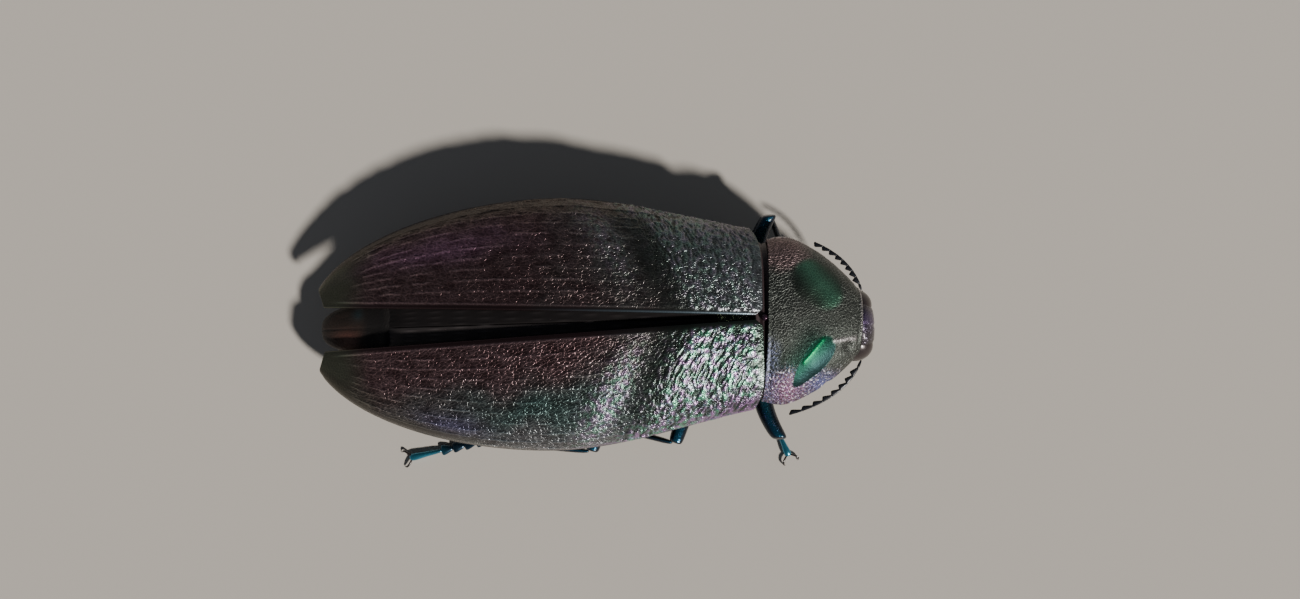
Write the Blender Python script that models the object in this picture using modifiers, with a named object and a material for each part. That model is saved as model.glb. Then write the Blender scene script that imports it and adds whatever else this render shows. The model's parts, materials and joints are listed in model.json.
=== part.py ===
"""Giant metallic ceiba borer, a jewel beetle, life size, standing still on its six feet.

The head looks along +X, the beetle's left side is +Y and the floor is z = 0. Sizes are in
millimetres times MM, so every value that reaches Blender is in metres.
"""

import math

import bmesh
import bpy
from mathutils import Matrix, Vector

MM = 0.001
SEAM = 0.25 * MM                    # clear gap between pieces that meet

# Wing cases, measured along the body back from their base with the cases closed
ELYTRA_BASE_X = 17.6 * MM
ELYTRA_LENGTH = 47.7 * MM
ELYTRA_PLAN_LENGTH = 48.2 * MM      # where the rounded plan outline would close
ELYTRON_BASE_WIDTH = 9.45 * MM
ELYTRON_WIDTH = 12.45 * MM
ELYTRON_WIDEST = 21.1 * MM
ELYTRON_WALL = 0.55 * MM
ELYTRA_OPENING = math.radians(2.7)  # each case swings out about its base
ELYTRA_HALF_SEAM = 0.15 * MM
ELYTRON_SEAM_LENGTH = 46.4 * MM     # the inner edge ends short of the blunt outer tip
SHOULDER_SLANT = 0.25 * MM
SHOULDER_ROUND = 1.2 * MM
SCUTELLUM_NOTCH = 0.7 * MM
WIDENING_POWER = 1.3                # how late the cases widen behind their base
TAPER_POWER = 1.8                   # how late they taper toward the tail
TAPER_ROUND = 0.55
BACK_BASE_Z = 13.3 * MM
BACK_TOP_Z = 14.5 * MM
BACK_TAIL_Z = 5.9 * MM
BACK_TOP_AT = 0.22                  # share of the case's length where the back is highest
RIM_BASE_Z = 8.3 * MM
RIM_TAIL_Z = 5.0 * MM
ARCH_POWER = 2.25                   # fullness of the arched cross-sections

# Trunk under the wing cases
TRUNK_FRONT_X = 17.6 * MM
TRUNK_REAR_X = 0.2 * MM
ABDOMEN_TIP_X = -29.75 * MM
TRUNK_INSET = 1.0 * MM              # trunk flank inside the wing case's rim
FLANK_DROP = 0.9 * MM               # and its side edge below that rim
FLANK_LEAST = 0.5 * MM
DORSUM_LEAST = 0.6 * MM             # least rise of the back over the side edge
KEEL_Z = 2.7 * MM
KEEL_TAIL_Z = 3.9 * MM
BELLY_POWER = 1.7
VENTRITE_SHARES = (0.27, 0.21, 0.18, 0.16, 0.18)
STEP = 0.2 * MM                     # each belly plate overlaps the next by this rise
WING_START_X = 13.0 * MM
WING_END_X = -22.3 * MM
WING_THICKNESS = 0.5 * MM
WING_REACH = 0.55                   # share of the back that each folded wing covers
WING_CLEARANCE = 0.45 * MM          # room between the wing cases and the folded wings
PLATE_LAP = 0.4 * MM                # back plate seen behind the folded wings
TAIL_NOSE_WIDTH = 1.9 * MM          # half-width of the rounded end of the abdomen
TAIL_NOSE_LENGTH = 2.1 * MM
TAIL_WEDGE_POWER = 2.0

# Fore body: its midline leans to the right ahead of the neck
NECK_X = 14.5 * MM
NECK_LEAN = 0.052
SHIELD_TURN = 0.055                 # of the shield and the breast on the neck
PRONOTUM_BASE_X = 18.4 * MM
PRONOTUM_FRONT_X = 28.2 * MM
PRONOTUM_WIDTH = 8.8 * MM
PRONOTUM_WIDEST_X = 20.2 * MM
PRONOTUM_NARROWING = 0.2 * MM       # behind its widest place
PRONOTUM_ARCH = 2.1
PRONOTUM_PLAN_X = 30.0 * MM         # where the rounded plan outline would close
PRONOTUM_FULLNESS = 1.3
PRONOTUM_ROUND = 0.75
PRONOTUM_TOP_Z = 13.5 * MM
PRONOTUM_FRONT_Z = 11.2 * MM
PRONOTUM_RIM_Z = 8.6 * MM
BREAST_INSET = 0.35 * MM
BREAST_LIFT = 0.3 * MM
BREAST_FRONT_Z = 5.2 * MM
HEAD_CENTRE = Vector((27.0, 0.0, 7.8)) * MM
HEAD_RADII = Vector((3.05, 3.5, 3.6)) * MM
EYE_CENTRE = Vector((29.15, 2.6, 8.3)) * MM
EYE_RADII = Vector((0.72, 1.0, 1.95)) * MM
EYE_LEAN = math.radians(24)
JAW_CENTRE = Vector((28.9, 0.8, 4.5)) * MM
JAW_RADII = Vector((0.75, 0.68, 0.95)) * MM
SCUTELLUM_CENTRE = Vector((17.8, 0.0, 13.2)) * MM
SCUTELLUM_RADIUS = 0.36 * MM

# Legs: hip, knee and ankle of each, then the foot's length and its turn from +X; the thighs
# bow down a little, and the front ones backward too
THIGH_BOW = Vector((0.0, 0.0, -0.35)) * MM
FRONT_THIGH_BOW = Vector((-1.7, 0.0, -0.35)) * MM
FEMUR_RADIUS = 0.95 * MM
FRONT_FEMUR_RADIUS = 1.1 * MM
FEMUR_GIRTHS = (0.7, 1.0, 0.8)      # shares of it at the hip, half-way and at the knee
TIBIA_GIRTHS = (0.95, 1.0, 0.9)
TIBIA_RADIUS = 0.55 * MM
FOOT_RADIUS = 0.72 * MM
COXA_RADII = {
    "front": Vector((1.25, 1.6, 1.15)) * MM,
    "middle": Vector((1.3, 1.7, 1.1)) * MM,
    "hind": Vector((1.3, 2.4, 1.0)) * MM,
}
FOOT_FLATTENING = 0.62
LEGS = {
    "front_left": dict(hip=(19.8, 2.6, 3.4), knee=(19.4, 11.3, 6.2), ankle=(21.6, 7.5, 1.15),
                       foot=5.4, turn=-36.0),
    "front_right": dict(hip=(19.8, -3.0, 3.4), knee=(19.8, -13.0, 6.4), ankle=(18.9, -9.2, 1.15),
                        foot=6.9, turn=-68.0),
    "middle_left": dict(hip=(12.6, 2.7, 3.1), knee=(9.2, 10.9, 4.7), ankle=(2.4, 9.2, 1.15),
                        foot=6.2, turn=176.0),
    "middle_right": dict(hip=(12.6, -2.7, 3.1), knee=(8.5, -13.3, 4.9), ankle=(1.6, -11.6, 1.15),
                         foot=6.2, turn=-177.0),
    "hind_left": dict(hip=(2.6, 2.9, 3.0), knee=(-0.6, 12.0, 4.4), ankle=(-11.2, 9.6, 1.15),
                      foot=8.4, turn=173.0),
    "hind_right": dict(hip=(2.6, -2.9, 3.0), knee=(-0.6, -14.0, 4.6), ankle=(-12.6, -12.8, 1.15),
                       foot=9.2, turn=-168.5),
}
FOOT_JOINTS = 5
JOINT_STATIONS = (0.06, 0.55, 0.86)  # along each joint, with its girth there
LOBE_GIRTHS = (0.6, 1.0, 1.0)
LAST_GIRTHS = (0.42, 0.55, 0.62)
CLAW_LENGTH = 1.5 * MM
CLAW_RADIUS = 0.27 * MM
CLAW_SPREAD = math.radians(36)
CLAW_OFFSET = 0.17 * MM
CLAW_HUMP = Vector((0.0, 0.0, 0.12)) * MM

# Feelers: three places on each path, swept through by an arc
FEELER_RADIUS = 0.42 * MM
FEELER_JOINTS = 11
FEELER_TAPER = 0.72
FEELER_PATHS = {
    "left": ((29.5, 2.0, 5.5), (28.0, 6.0, 5.9), (24.3, 8.7, 5.6)),
    "right": ((29.5, -2.0, 5.5), (26.9, -6.9, 5.9), (21.1, -10.1, 5.0)),
}

BLUE_BLACK = (0.020, 0.045, 0.085)
VIOLET_BROWN = (0.060, 0.035, 0.045)
GREY_GREEN = (0.060, 0.085, 0.065)
DARK_MAROON = (0.055, 0.022, 0.032)
DARK_BROWN = (0.030, 0.018, 0.014)
BRONZE_GREEN = (0.070, 0.090, 0.050)


# ---------------------------------------------------------------- scene and materials

def clear_scene():
    for item in list(bpy.data.objects):
        bpy.data.objects.remove(item, do_unlink=True)


def add_collection(name):
    collection = bpy.data.collections.new(name)
    bpy.context.scene.collection.children.link(collection)
    return collection


def finish(name, colour, roughness=0.35, metallic=0.6):
    material = bpy.data.materials.new(name)
    material.use_nodes = True
    shader = material.node_tree.nodes["Principled BSDF"]
    shader.inputs["Base Color"].default_value = (*colour, 1.0)
    shader.inputs["Roughness"].default_value = roughness
    shader.inputs["Metallic"].default_value = metallic
    return material


def add_object(name, mesh, collection, material=None):
    piece = bpy.data.objects.new(name, mesh)
    collection.objects.link(piece)
    if material:
        mesh.materials.append(material)
    mesh.shade_smooth()
    mesh.set_sharp_from_angle(angle=math.radians(40))
    return piece


def to_mesh_object(name, shape, collection, material=None):
    mesh = bpy.data.meshes.new(name)
    bmesh.ops.recalc_face_normals(shape, faces=shape.faces)
    shape.to_mesh(mesh)
    shape.free()
    return add_object(name, mesh, collection, material)


def to_sheet_object(name, shape, collection, material):
    """Open sheet whose faces all look up, so that Solidify adds the wall underneath."""
    shape.normal_update()
    if sum(face.normal.z for face in shape.faces) < 0.0:
        bmesh.ops.reverse_faces(shape, faces=shape.faces)
    mesh = bpy.data.meshes.new(name)
    shape.to_mesh(mesh)
    shape.free()
    return add_object(name, mesh, collection, material)


# ---------------------------------------------------------------- shape helpers

def blend(start, end, share):
    return start + (end - start) * share


def bulge(share, power):
    """Quarter of a rounded outline: 1 at share 0, falling to 0 at share 1."""
    return max(0.0, 1.0 - min(1.0, share) ** power) ** (1.0 / power)


def arch(half_width, rise, power, steps):
    """Points (y, z) of an arch from +half_width over the crown to -half_width."""
    points = []
    for index in range(steps + 1):
        angle = math.pi * index / steps
        across = math.copysign(abs(math.cos(angle)) ** (2.0 / power), math.cos(angle))
        points.append((half_width * across, rise * math.sin(angle) ** (2.0 / power)))
    return points


def loft(name, rings, collection, material=None):
    """Closed solid through rings of equal length; unlike sections, so joined face by face."""
    shape = bmesh.new()
    loops = [[shape.verts.new(point) for point in ring] for ring in rings]
    count = len(rings[0])
    for near, far in zip(loops, loops[1:]):
        for index in range(count):
            after = (index + 1) % count
            shape.faces.new((near[index], near[after], far[after], far[index]))
    shape.faces.new(loops[0])
    shape.faces.new(loops[-1])
    return to_mesh_object(name, shape, collection, material)


def ellipsoid(name, centre, radii, collection, material=None, segments=16, rings=10):
    shape = bmesh.new()
    bmesh.ops.create_uvsphere(shape, u_segments=segments, v_segments=rings, radius=1.0)
    bmesh.ops.scale(shape, vec=radii, verts=shape.verts)
    piece = to_mesh_object(name, shape, collection, material)
    piece.location = centre
    return piece


def tube(name, points, radii, collection, material=None, roundness=2):
    """Round tapering limb: a curve with a radius at each point, made into a mesh."""
    curve = bpy.data.curves.new(name, "CURVE")
    curve.dimensions = "3D"
    curve.bevel_depth = 1.0
    curve.bevel_resolution = roundness
    curve.use_fill_caps = True
    spline = curve.splines.new("POLY")
    spline.points.add(len(points) - 1)
    for target, point, radius in zip(spline.points, points, radii):
        target.co = (*point, 1.0)
        target.radius = radius
    source = bpy.data.objects.new(name + "_curve", curve)
    bpy.context.scene.collection.objects.link(source)
    bpy.context.view_layer.update()
    evaluated = source.evaluated_get(bpy.context.evaluated_depsgraph_get())
    mesh = bpy.data.meshes.new_from_object(evaluated)
    mesh.name = name
    bpy.data.objects.remove(source, do_unlink=True)
    bpy.data.curves.remove(curve)
    shape = bmesh.new()
    shape.from_mesh(mesh)
    bmesh.ops.remove_doubles(shape, verts=shape.verts, dist=0.001 * MM)
    bmesh.ops.recalc_face_normals(shape, faces=shape.faces)
    shape.to_mesh(mesh)
    shape.free()
    return add_object(name, mesh, collection, material)


def rounded_rod(name, start, end, radii, collection, material=None, bow=Vector((0, 0, 0))):
    """Limb between two places, with rounded ends; radii are (near, middle, far)."""
    near, middle, far = radii
    length = (end - start).length
    stations = (0.0, 0.25 * near / length, near / length, 0.35, 0.65,
                1.0 - far / length, 1.0 - 0.25 * far / length, 1.0)
    points, widths = [], []
    for share in stations:
        points.append(blend(start, end, share) + bow * math.sin(math.pi * share))
        body = blend(near, middle, share / 0.35) if share < 0.35 else middle
        body = blend(middle, far, (share - 0.65) / 0.35) if share > 0.65 else body
        widths.append(body)
    widths[0], widths[1] = 0.45 * near, 0.8 * near
    widths[-2], widths[-1] = 0.8 * far, 0.45 * far
    return tube(name, points, widths, collection, material)


def cut(piece, cutter, operation="DIFFERENCE"):
    change = piece.modifiers.new(operation.title() + "_" + cutter.name, "BOOLEAN")
    change.operation = operation
    change.solver = "EXACT"
    change.object = cutter


def hide_cutter(cutter):
    cutter.display_type = "WIRE"
    cutter.hide_render = True


# ---------------------------------------------------------------- outlines of the body

def leaning(point):
    """Place of a fore-body point once the neck leans a little to the right."""
    return Vector((point.x, point.y - NECK_LEAN * max(0.0, point.x - NECK_X), point.z))


def turning(point):
    """Place of a point of the shield or the breast, which turn with the lean."""
    place = leaning(point)
    return Vector((place.x + SHIELD_TURN * point.y, place.y, place.z))


def case_width(back):
    """Half-width of the closed wing cases at a distance back from their base."""
    if back <= ELYTRON_WIDEST:
        share = max(0.0, back / ELYTRON_WIDEST) ** WIDENING_POWER
        return blend(ELYTRON_BASE_WIDTH, ELYTRON_WIDTH, math.sin(share * math.pi / 2))
    share = (back - ELYTRON_WIDEST) / (ELYTRA_PLAN_LENGTH - ELYTRON_WIDEST)
    return ELYTRON_WIDTH * max(0.0, 1.0 - min(1.0, share) ** TAPER_POWER) ** TAPER_ROUND


def back_height(back):
    """Height of the crown of the back along the wing cases."""
    share = back / ELYTRA_LENGTH
    if share < BACK_TOP_AT:
        fall = ((BACK_TOP_AT - share) / BACK_TOP_AT) ** 2
        return blend(BACK_TOP_Z, BACK_BASE_Z, fall)
    return blend(BACK_TOP_Z, BACK_TAIL_Z, ((share - BACK_TOP_AT) / (1.0 - BACK_TOP_AT)) ** 1.9)


def rim_height(back):
    """Height of the side rim of the wing cases."""
    return blend(RIM_BASE_Z, RIM_TAIL_Z, min(1.0, max(0.0, back / ELYTRA_LENGTH)) ** 1.5)


def flank_width(x):
    return max(FLANK_LEAST, case_width(ELYTRA_BASE_X - x) - TRUNK_INSET)


def flank_height(x):
    return rim_height(ELYTRA_BASE_X - x) - FLANK_DROP


def keel_height(x):
    return blend(KEEL_Z, KEEL_TAIL_Z, max(0.0, x / ABDOMEN_TIP_X) ** 2)


def pronotum_width(x):
    if x < PRONOTUM_WIDEST_X:
        near = (PRONOTUM_WIDEST_X - x) / (PRONOTUM_WIDEST_X - PRONOTUM_BASE_X)
        return PRONOTUM_WIDTH - PRONOTUM_NARROWING * near ** 2
    share = (x - PRONOTUM_WIDEST_X) / (PRONOTUM_PLAN_X - PRONOTUM_WIDEST_X)
    return PRONOTUM_WIDTH * (1.0 - share ** PRONOTUM_FULLNESS) ** PRONOTUM_ROUND


def pronotum_height(x):
    share = (x - PRONOTUM_BASE_X) / (PRONOTUM_FRONT_X - PRONOTUM_BASE_X)
    return blend(PRONOTUM_TOP_Z, PRONOTUM_FRONT_Z, share ** 2.2)


def breast_height(x):
    share = (x - PRONOTUM_BASE_X) / (PRONOTUM_FRONT_X - PRONOTUM_BASE_X)
    return blend(KEEL_Z + BREAST_LIFT, BREAST_FRONT_Z, max(0.0, share) ** 2.0)


def block_rings(stations, width, edge, crown, power, steps):
    """Rings of a solid with a flat side at the edge height and an arched side at the crown."""
    rings = []
    for x in stations:
        points = arch(width(x), crown(x) - edge(x), power, steps)
        rings.append([Vector((x, y, edge(x) + rise)) for y, rise in points])
    return rings


def spaced(start, end, count):
    return [blend(start, end, index / count) for index in range(count + 1)]


def rounded_stations(start, end, count):
    """Stations that crowd together toward the end, where the plan outline turns in."""
    return [blend(start, end, math.sin(index / count * math.pi / 2)) for index in range(count + 1)]


# ---------------------------------------------------------------- wing cases and wings

def elytron_point(along, around):
    """Point of the closed left case: along runs base to tail, around runs rim to seam."""
    angle = around * math.pi / 2
    across = math.cos(angle) ** (2.0 / ARCH_POWER)
    shoulder = SHOULDER_SLANT * across + SHOULDER_ROUND * across ** 8
    notch = SCUTELLUM_NOTCH if around > 0.999 else 0.0
    tail = blend(ELYTRON_SEAM_LENGTH, ELYTRA_LENGTH, min(1.0, across * 3.0))
    back = blend(shoulder + notch, tail, math.sin(along * math.pi / 2))
    width = case_width(back)
    rise = (back_height(back) - rim_height(back)) * math.sin(angle) ** (2.0 / ARCH_POWER)
    seam = ELYTRA_HALF_SEAM * (1.0 - across)
    return Vector((-back, width * across + seam, rim_height(back) + rise))


def build_elytron(side, parts):
    """One wing case: a grid bent to the arched shell, given its wall by Solidify."""
    name = "elytron_left" if side > 0 else "elytron_right"
    shape = bmesh.new()
    bmesh.ops.create_grid(shape, x_segments=20, y_segments=8, size=0.5)
    for vertex in shape.verts:
        vertex.co = elytron_point(vertex.co.x + 0.5, vertex.co.y + 0.5)
        vertex.co.y *= side
    piece = to_sheet_object(name, shape, parts, finish(name, DARK_MAROON, 0.32, 0.75))
    wall = piece.modifiers.new("Wall", "SOLIDIFY")
    wall.thickness = ELYTRON_WALL
    wall.offset = -1.0
    wall.use_even_offset = True
    piece.location = (ELYTRA_BASE_X, 0.0, 0.0)
    piece.rotation_euler = (0.0, 0.0, -side * ELYTRA_OPENING)


def wing_crown(x):
    return back_height(ELYTRA_BASE_X - x) - ELYTRON_WALL - WING_CLEARANCE


def build_hind_wing(side, parts):
    """One folded flying wing, a dark sheet on the abdomen that shows between the cases."""
    name = "hind_wing_left" if side > 0 else "hind_wing_right"
    shape = bmesh.new()
    bmesh.ops.create_grid(shape, x_segments=12, y_segments=3, size=0.5)
    for vertex in shape.verts:
        x = blend(WING_START_X, WING_END_X, vertex.co.x + 0.5)
        share = WING_REACH * (vertex.co.y + 0.5)
        reach = flank_width(x) * share
        drop = (wing_crown(x) - flank_height(x)) * (1.0 - bulge(share, ARCH_POWER))
        vertex.co = Vector((x, side * (reach + 0.5 * SEAM), wing_crown(x) - drop))
    piece = to_sheet_object(name, shape, parts, finish(name, DARK_BROWN, 0.3, 0.2))
    sheet = piece.modifiers.new("Sheet", "SOLIDIFY")
    sheet.thickness = WING_THICKNESS
    sheet.offset = -1.0


def build_scutellum(parts):
    radii = Vector((SCUTELLUM_RADIUS, SCUTELLUM_RADIUS, SCUTELLUM_RADIUS))
    ellipsoid("scutellum", SCUTELLUM_CENTRE, radii, parts,
              finish("scutellum", VIOLET_BROWN), 10, 6)


# ---------------------------------------------------------------- trunk

def trunk_crown(x):
    under_wings = wing_crown(x) - WING_THICKNESS - SEAM
    return max(under_wings, flank_height(x) + DORSUM_LEAST)


def tail_crown(x):
    return max(wing_crown(x), flank_height(x) + SEAM)


def tail_width(x):
    """Half-width of the end of the abdomen: a wedge with a rounded nose."""
    ahead = max(0.0, x - ABDOMEN_TIP_X)
    nose = TAIL_NOSE_WIDTH * bulge(0.97 - min(0.97, ahead / TAIL_NOSE_LENGTH), 2.0)
    wedge = (ahead / (WING_END_X - ABDOMEN_TIP_X)) ** TAIL_WEDGE_POWER
    return nose + (flank_width(WING_END_X) - TAIL_NOSE_WIDTH) * wedge


def back_edge(x):
    return flank_height(x) + 0.5 * SEAM


def belly_edge(x):
    return flank_height(x) - 0.5 * SEAM


def build_pterothorax(parts):
    """Middle trunk that bears the wing cases and the middle and hind legs."""
    rings = []
    for x in spaced(TRUNK_FRONT_X, TRUNK_REAR_X, 7):
        edge = flank_height(x)
        upper = arch(flank_width(x), trunk_crown(x) - edge, ARCH_POWER, 12)
        lower = arch(flank_width(x), keel_height(x) - edge, BELLY_POWER, 14)
        outline = upper + [point for point in reversed(lower[1:-1])]
        rings.append([Vector((x, y, edge + rise)) for y, rise in outline])
    return loft("pterothorax", rings, parts, finish("pterothorax", BRONZE_GREEN))


def build_tergites(parts):
    """Upper abdomen in two lengths: under the folded wings, and the bare tail plate."""
    front = spaced(TRUNK_REAR_X - SEAM, WING_END_X - PLATE_LAP, 8)
    rings = block_rings(front, flank_width, back_edge, trunk_crown, ARCH_POWER, 12)
    loft("abdomen_dorsum", rings, parts, finish("abdomen_dorsum", DARK_BROWN))
    rear = rounded_stations(WING_END_X - PLATE_LAP - SEAM, ABDOMEN_TIP_X, 7)
    rings = block_rings(rear, tail_width, back_edge, tail_crown, ARCH_POWER, 12)
    loft("tail_plate", rings, parts, finish("tail_plate", DARK_MAROON, 0.4, 0.4))


def build_ventrites(parts):
    """Five belly plates, each a little proud of the next behind it."""
    start = TRUNK_REAR_X - SEAM
    length = start - ABDOMEN_TIP_X
    plates = []
    for number, share in enumerate(VENTRITE_SHARES, start=1):
        end = max(start - share * length + SEAM, ABDOMEN_TIP_X)
        last = number == len(VENTRITE_SHARES)
        stations = rounded_stations(start, end, 6) if last else spaced(start, end, 2)

        def crown(x, start=start, end=end):
            return keel_height(x) - STEP * (start - x) / (start - end)

        width = tail_width if last else flank_width
        rings = block_rings(stations, width, belly_edge, crown, BELLY_POWER, 12)
        name = "ventrite_" + str(number)
        plates.append(loft(name, rings, parts, finish(name, BRONZE_GREEN)))
        start = end - SEAM
    return plates


# ---------------------------------------------------------------- fore body

def shield_edge(x):
    return PRONOTUM_RIM_Z + 0.5 * SEAM


def breast_edge(x):
    return PRONOTUM_RIM_Z - 0.5 * SEAM


def breast_width(x):
    return pronotum_width(x) - BREAST_INSET


def build_prothorax(parts):
    stations = rounded_stations(PRONOTUM_BASE_X, PRONOTUM_FRONT_X, 9)
    rings = block_rings(stations, pronotum_width, shield_edge, pronotum_height, PRONOTUM_ARCH, 16)
    rings = [[turning(point) for point in ring] for ring in rings]
    pronotum = loft("pronotum", rings, parts, finish("pronotum", GREY_GREEN, 0.4, 0.6))
    rings = block_rings(stations, breast_width, breast_edge, breast_height, BELLY_POWER, 14)
    rings = [[turning(point) for point in ring] for ring in rings]
    breast = loft("prosternum", rings, parts, finish("prosternum", BRONZE_GREEN))
    return pronotum, breast


def build_head(parts, cutters):
    """Head set into the prothorax, its eyes in their sockets, and the mouthparts below."""
    head = ellipsoid("head", leaning(HEAD_CENTRE), HEAD_RADII, parts,
                     finish("head", VIOLET_BROWN), 20, 14)
    shape = bmesh.new()
    shape.from_mesh(head.data)
    plane = Vector((PRONOTUM_FRONT_X + SEAM - HEAD_CENTRE.x, 0.0, 0.0))
    cut_line = bmesh.ops.bisect_plane(shape, geom=shape.verts[:] + shape.edges[:] + shape.faces[:],
                                      plane_co=plane, plane_no=(-1, 0, 0), clear_outer=True)
    edges = [item for item in cut_line["geom_cut"] if isinstance(item, bmesh.types.BMEdge)]
    bmesh.ops.edgeloop_fill(shape, edges=edges)
    bmesh.ops.recalc_face_normals(shape, faces=shape.faces)
    shape.to_mesh(head.data)
    shape.free()
    room = Vector((SEAM, SEAM, SEAM))
    for side, label in ((1, "left"), (-1, "right")):
        mirror = Vector((1.0, side, 1.0))
        centre = leaning(EYE_CENTRE * mirror)
        eye = ellipsoid("eye_" + label, centre, EYE_RADII, parts,
                        finish("eye_" + label, DARK_BROWN, 0.2, 0.0), 12, 8)
        socket = ellipsoid("eye_socket_" + label, centre, EYE_RADII + room, cutters, None, 12, 8)
        for piece in (eye, socket):
            piece.rotation_euler = (side * EYE_LEAN, 0.0, 0.0)
        centre = leaning(JAW_CENTRE * mirror)
        ellipsoid("mandible_" + label, centre, JAW_RADII, parts,
                  finish("mandible_" + label, DARK_BROWN, 0.25, 0.1), 10, 7)
        jaw_room = ellipsoid("mandible_room_" + label, centre, JAW_RADII + room, cutters,
                             None, 10, 7)
        for cutter in (socket, jaw_room):
            cut(head, cutter)
            hide_cutter(cutter)


def arc_through(first, second, third, share):
    """Point of the quadratic curve that passes the second place half-way."""
    start, middle, end = (Vector(place) * MM for place in (first, second, third))
    control = 2.0 * middle - 0.5 * (start + end)
    near = blend(start, control, share)
    far = blend(control, end, share)
    return blend(near, far, share)


def build_feeler(label, parts):
    """Saw-toothed feeler of eleven joints: narrow at each joint's root, wide at its end."""
    places = FEELER_PATHS[label]
    points, radii = [], []
    for joint in range(FEELER_JOINTS):
        taper = blend(1.0, FEELER_TAPER, joint / (FEELER_JOINTS - 1))
        for inner, size in ((0.08, 0.62), (0.85, 1.0)):
            points.append(leaning(arc_through(*places, (joint + inner) / FEELER_JOINTS)))
            radii.append(FEELER_RADIUS * size * taper)
    name = "antenna_" + label
    tube(name, points, radii, parts, finish(name, DARK_BROWN, 0.35, 0.3), 1)


# ---------------------------------------------------------------- legs

def build_foot(name, ankle, length, turn, parts, cutters, material):
    """Foot laid on the floor: five lobed joints, two claws, and flat soles at z = 0."""
    points, radii = [], []
    height = FOOT_RADIUS * FOOT_FLATTENING * 0.76
    for joint in range(FOOT_JOINTS):
        last = joint == FOOT_JOINTS - 1
        for inner, size in zip(JOINT_STATIONS, LAST_GIRTHS if last else LOBE_GIRTHS):
            share = (joint + inner) / FOOT_JOINTS
            lift = (ankle.z - height) * max(0.0, 1.0 - 3.0 * share) ** 2
            points.append(Vector((share * length, 0.0, (height + lift) / FOOT_FLATTENING)))
            radii.append(FOOT_RADIUS * size)
    foot = tube(name, points, radii, parts, material, 1)
    foot.data.transform(Matrix.Diagonal((1.0, 1.0, FOOT_FLATTENING, 1.0)))
    for vertex in foot.data.vertices:
        vertex.co.z = max(0.0, vertex.co.z)
    placing = Matrix.Translation((ankle.x, ankle.y, 0.0)) @ Matrix.Rotation(turn, 4, "Z")
    foot.matrix_world = placing
    for side in (1, -1):
        root = Vector((length * 0.93, side * CLAW_OFFSET, height * 1.1))
        reach = Vector((math.cos(CLAW_SPREAD), side * math.sin(CLAW_SPREAD), 0.0)) * CLAW_LENGTH
        tip = root + reach
        tip.z = CLAW_RADIUS * 0.7
        middle = blend(root, tip, 0.55) + CLAW_HUMP
        widths = (CLAW_RADIUS, CLAW_RADIUS * 0.9, CLAW_RADIUS * 0.45)
        claw = tube(name + "_claw", (root, middle, tip), widths, cutters, None, 1)
        claw.matrix_world = placing
        cut(foot, claw, "UNION")
        hide_cutter(claw)
    return foot


def build_leg(label, leg, parts, cutters):
    """Coxa, femur, tibia and foot of one leg, and the sockets that make room for them."""
    hip, knee, ankle = (Vector(leg[key]) * MM for key in ("hip", "knee", "ankle"))
    turn = math.radians(leg["turn"])
    front = label.startswith("front")
    bow = FRONT_THIGH_BOW if front else THIGH_BOW
    thigh = FRONT_FEMUR_RADIUS if front else FEMUR_RADIUS
    femur_radii = [thigh * girth for girth in FEMUR_GIRTHS]
    tibia_radii = [TIBIA_RADIUS * girth for girth in TIBIA_GIRTHS]

    def blue(part):
        return finish(part, BLUE_BLACK, 0.28, 0.8)

    coxa_radii = COXA_RADII[label.split("_")[0]]
    coxa = ellipsoid(label + "_coxa", hip, coxa_radii, parts, blue(label + "_coxa"), 8, 6)
    coxa_room = ellipsoid(label + "_coxa_room", hip, coxa_radii + Vector((SEAM, SEAM, SEAM)),
                          cutters, None, 8, 6)
    femur = rounded_rod(label + "_femur", hip, knee, femur_radii, parts,
                        blue(label + "_femur"), bow)
    roomy = [radius + 1.2 * SEAM for radius in femur_radii]
    femur_room = rounded_rod(label + "_femur_room", hip, knee, roomy, cutters, None, bow)
    shin = ankle - knee
    tibia_start = knee + shin.normalized() * femur_radii[2]
    tibia_end = ankle - shin.normalized() * SEAM
    tibia = rounded_rod(label + "_tibia", tibia_start, tibia_end, tibia_radii, parts,
                        blue(label + "_tibia"))
    roomy = [radius + 1.2 * SEAM for radius in tibia_radii]
    tibia_room = rounded_rod(label + "_tibia_room", tibia_start, tibia_end, roomy, cutters)
    foot = build_foot(label + "_tarsus", ankle, leg["foot"] * MM, turn, parts, cutters,
                      blue(label + "_tarsus"))
    cut(femur, coxa_room)
    cut(tibia, femur_room)
    cut(foot, tibia_room)
    for room in (coxa_room, femur_room, tibia_room):
        hide_cutter(room)
    return coxa_room, femur_room


# ---------------------------------------------------------------- whole beetle

def centre_in_plan(parts, cutters):
    """Move everything sideways so that the beetle's box is centred on the origin."""
    bpy.context.view_layer.update()
    graph = bpy.context.evaluated_depsgraph_get()
    corners = []
    for piece in parts.objects:
        shown = piece.evaluated_get(graph)
        corners += [shown.matrix_world @ vertex.co for vertex in shown.data.vertices]
    middle = [0.5 * (min(corner[axis] for corner in corners) + max(corner[axis] for corner in corners))
              for axis in (0, 1)]
    for item in [*parts.objects, *cutters.objects]:
        item.location -= Vector((*middle, 0.0))


def build_beetle():
    parts = add_collection("jewel_beetle")
    cutters = add_collection("cutters")
    for side in (1, -1):
        build_elytron(side, parts)
        build_hind_wing(side, parts)
    build_scutellum(parts)
    trunk = build_pterothorax(parts)
    build_tergites(parts)
    ventrites = build_ventrites(parts)
    pronotum, breast = build_prothorax(parts)
    build_head(parts, cutters)
    for label in FEELER_PATHS:
        build_feeler(label, parts)
    hosts = {"front": (breast, pronotum, trunk), "middle": (trunk,), "hind": (trunk, ventrites[0])}
    for label, leg in LEGS.items():
        rooms = build_leg(label, leg, parts, cutters)
        for host in hosts[label.split("_")[0]]:
            for room in rooms:
                cut(host, room)
    centre_in_plan(parts, cutters)


clear_scene()
build_beetle()
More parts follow.
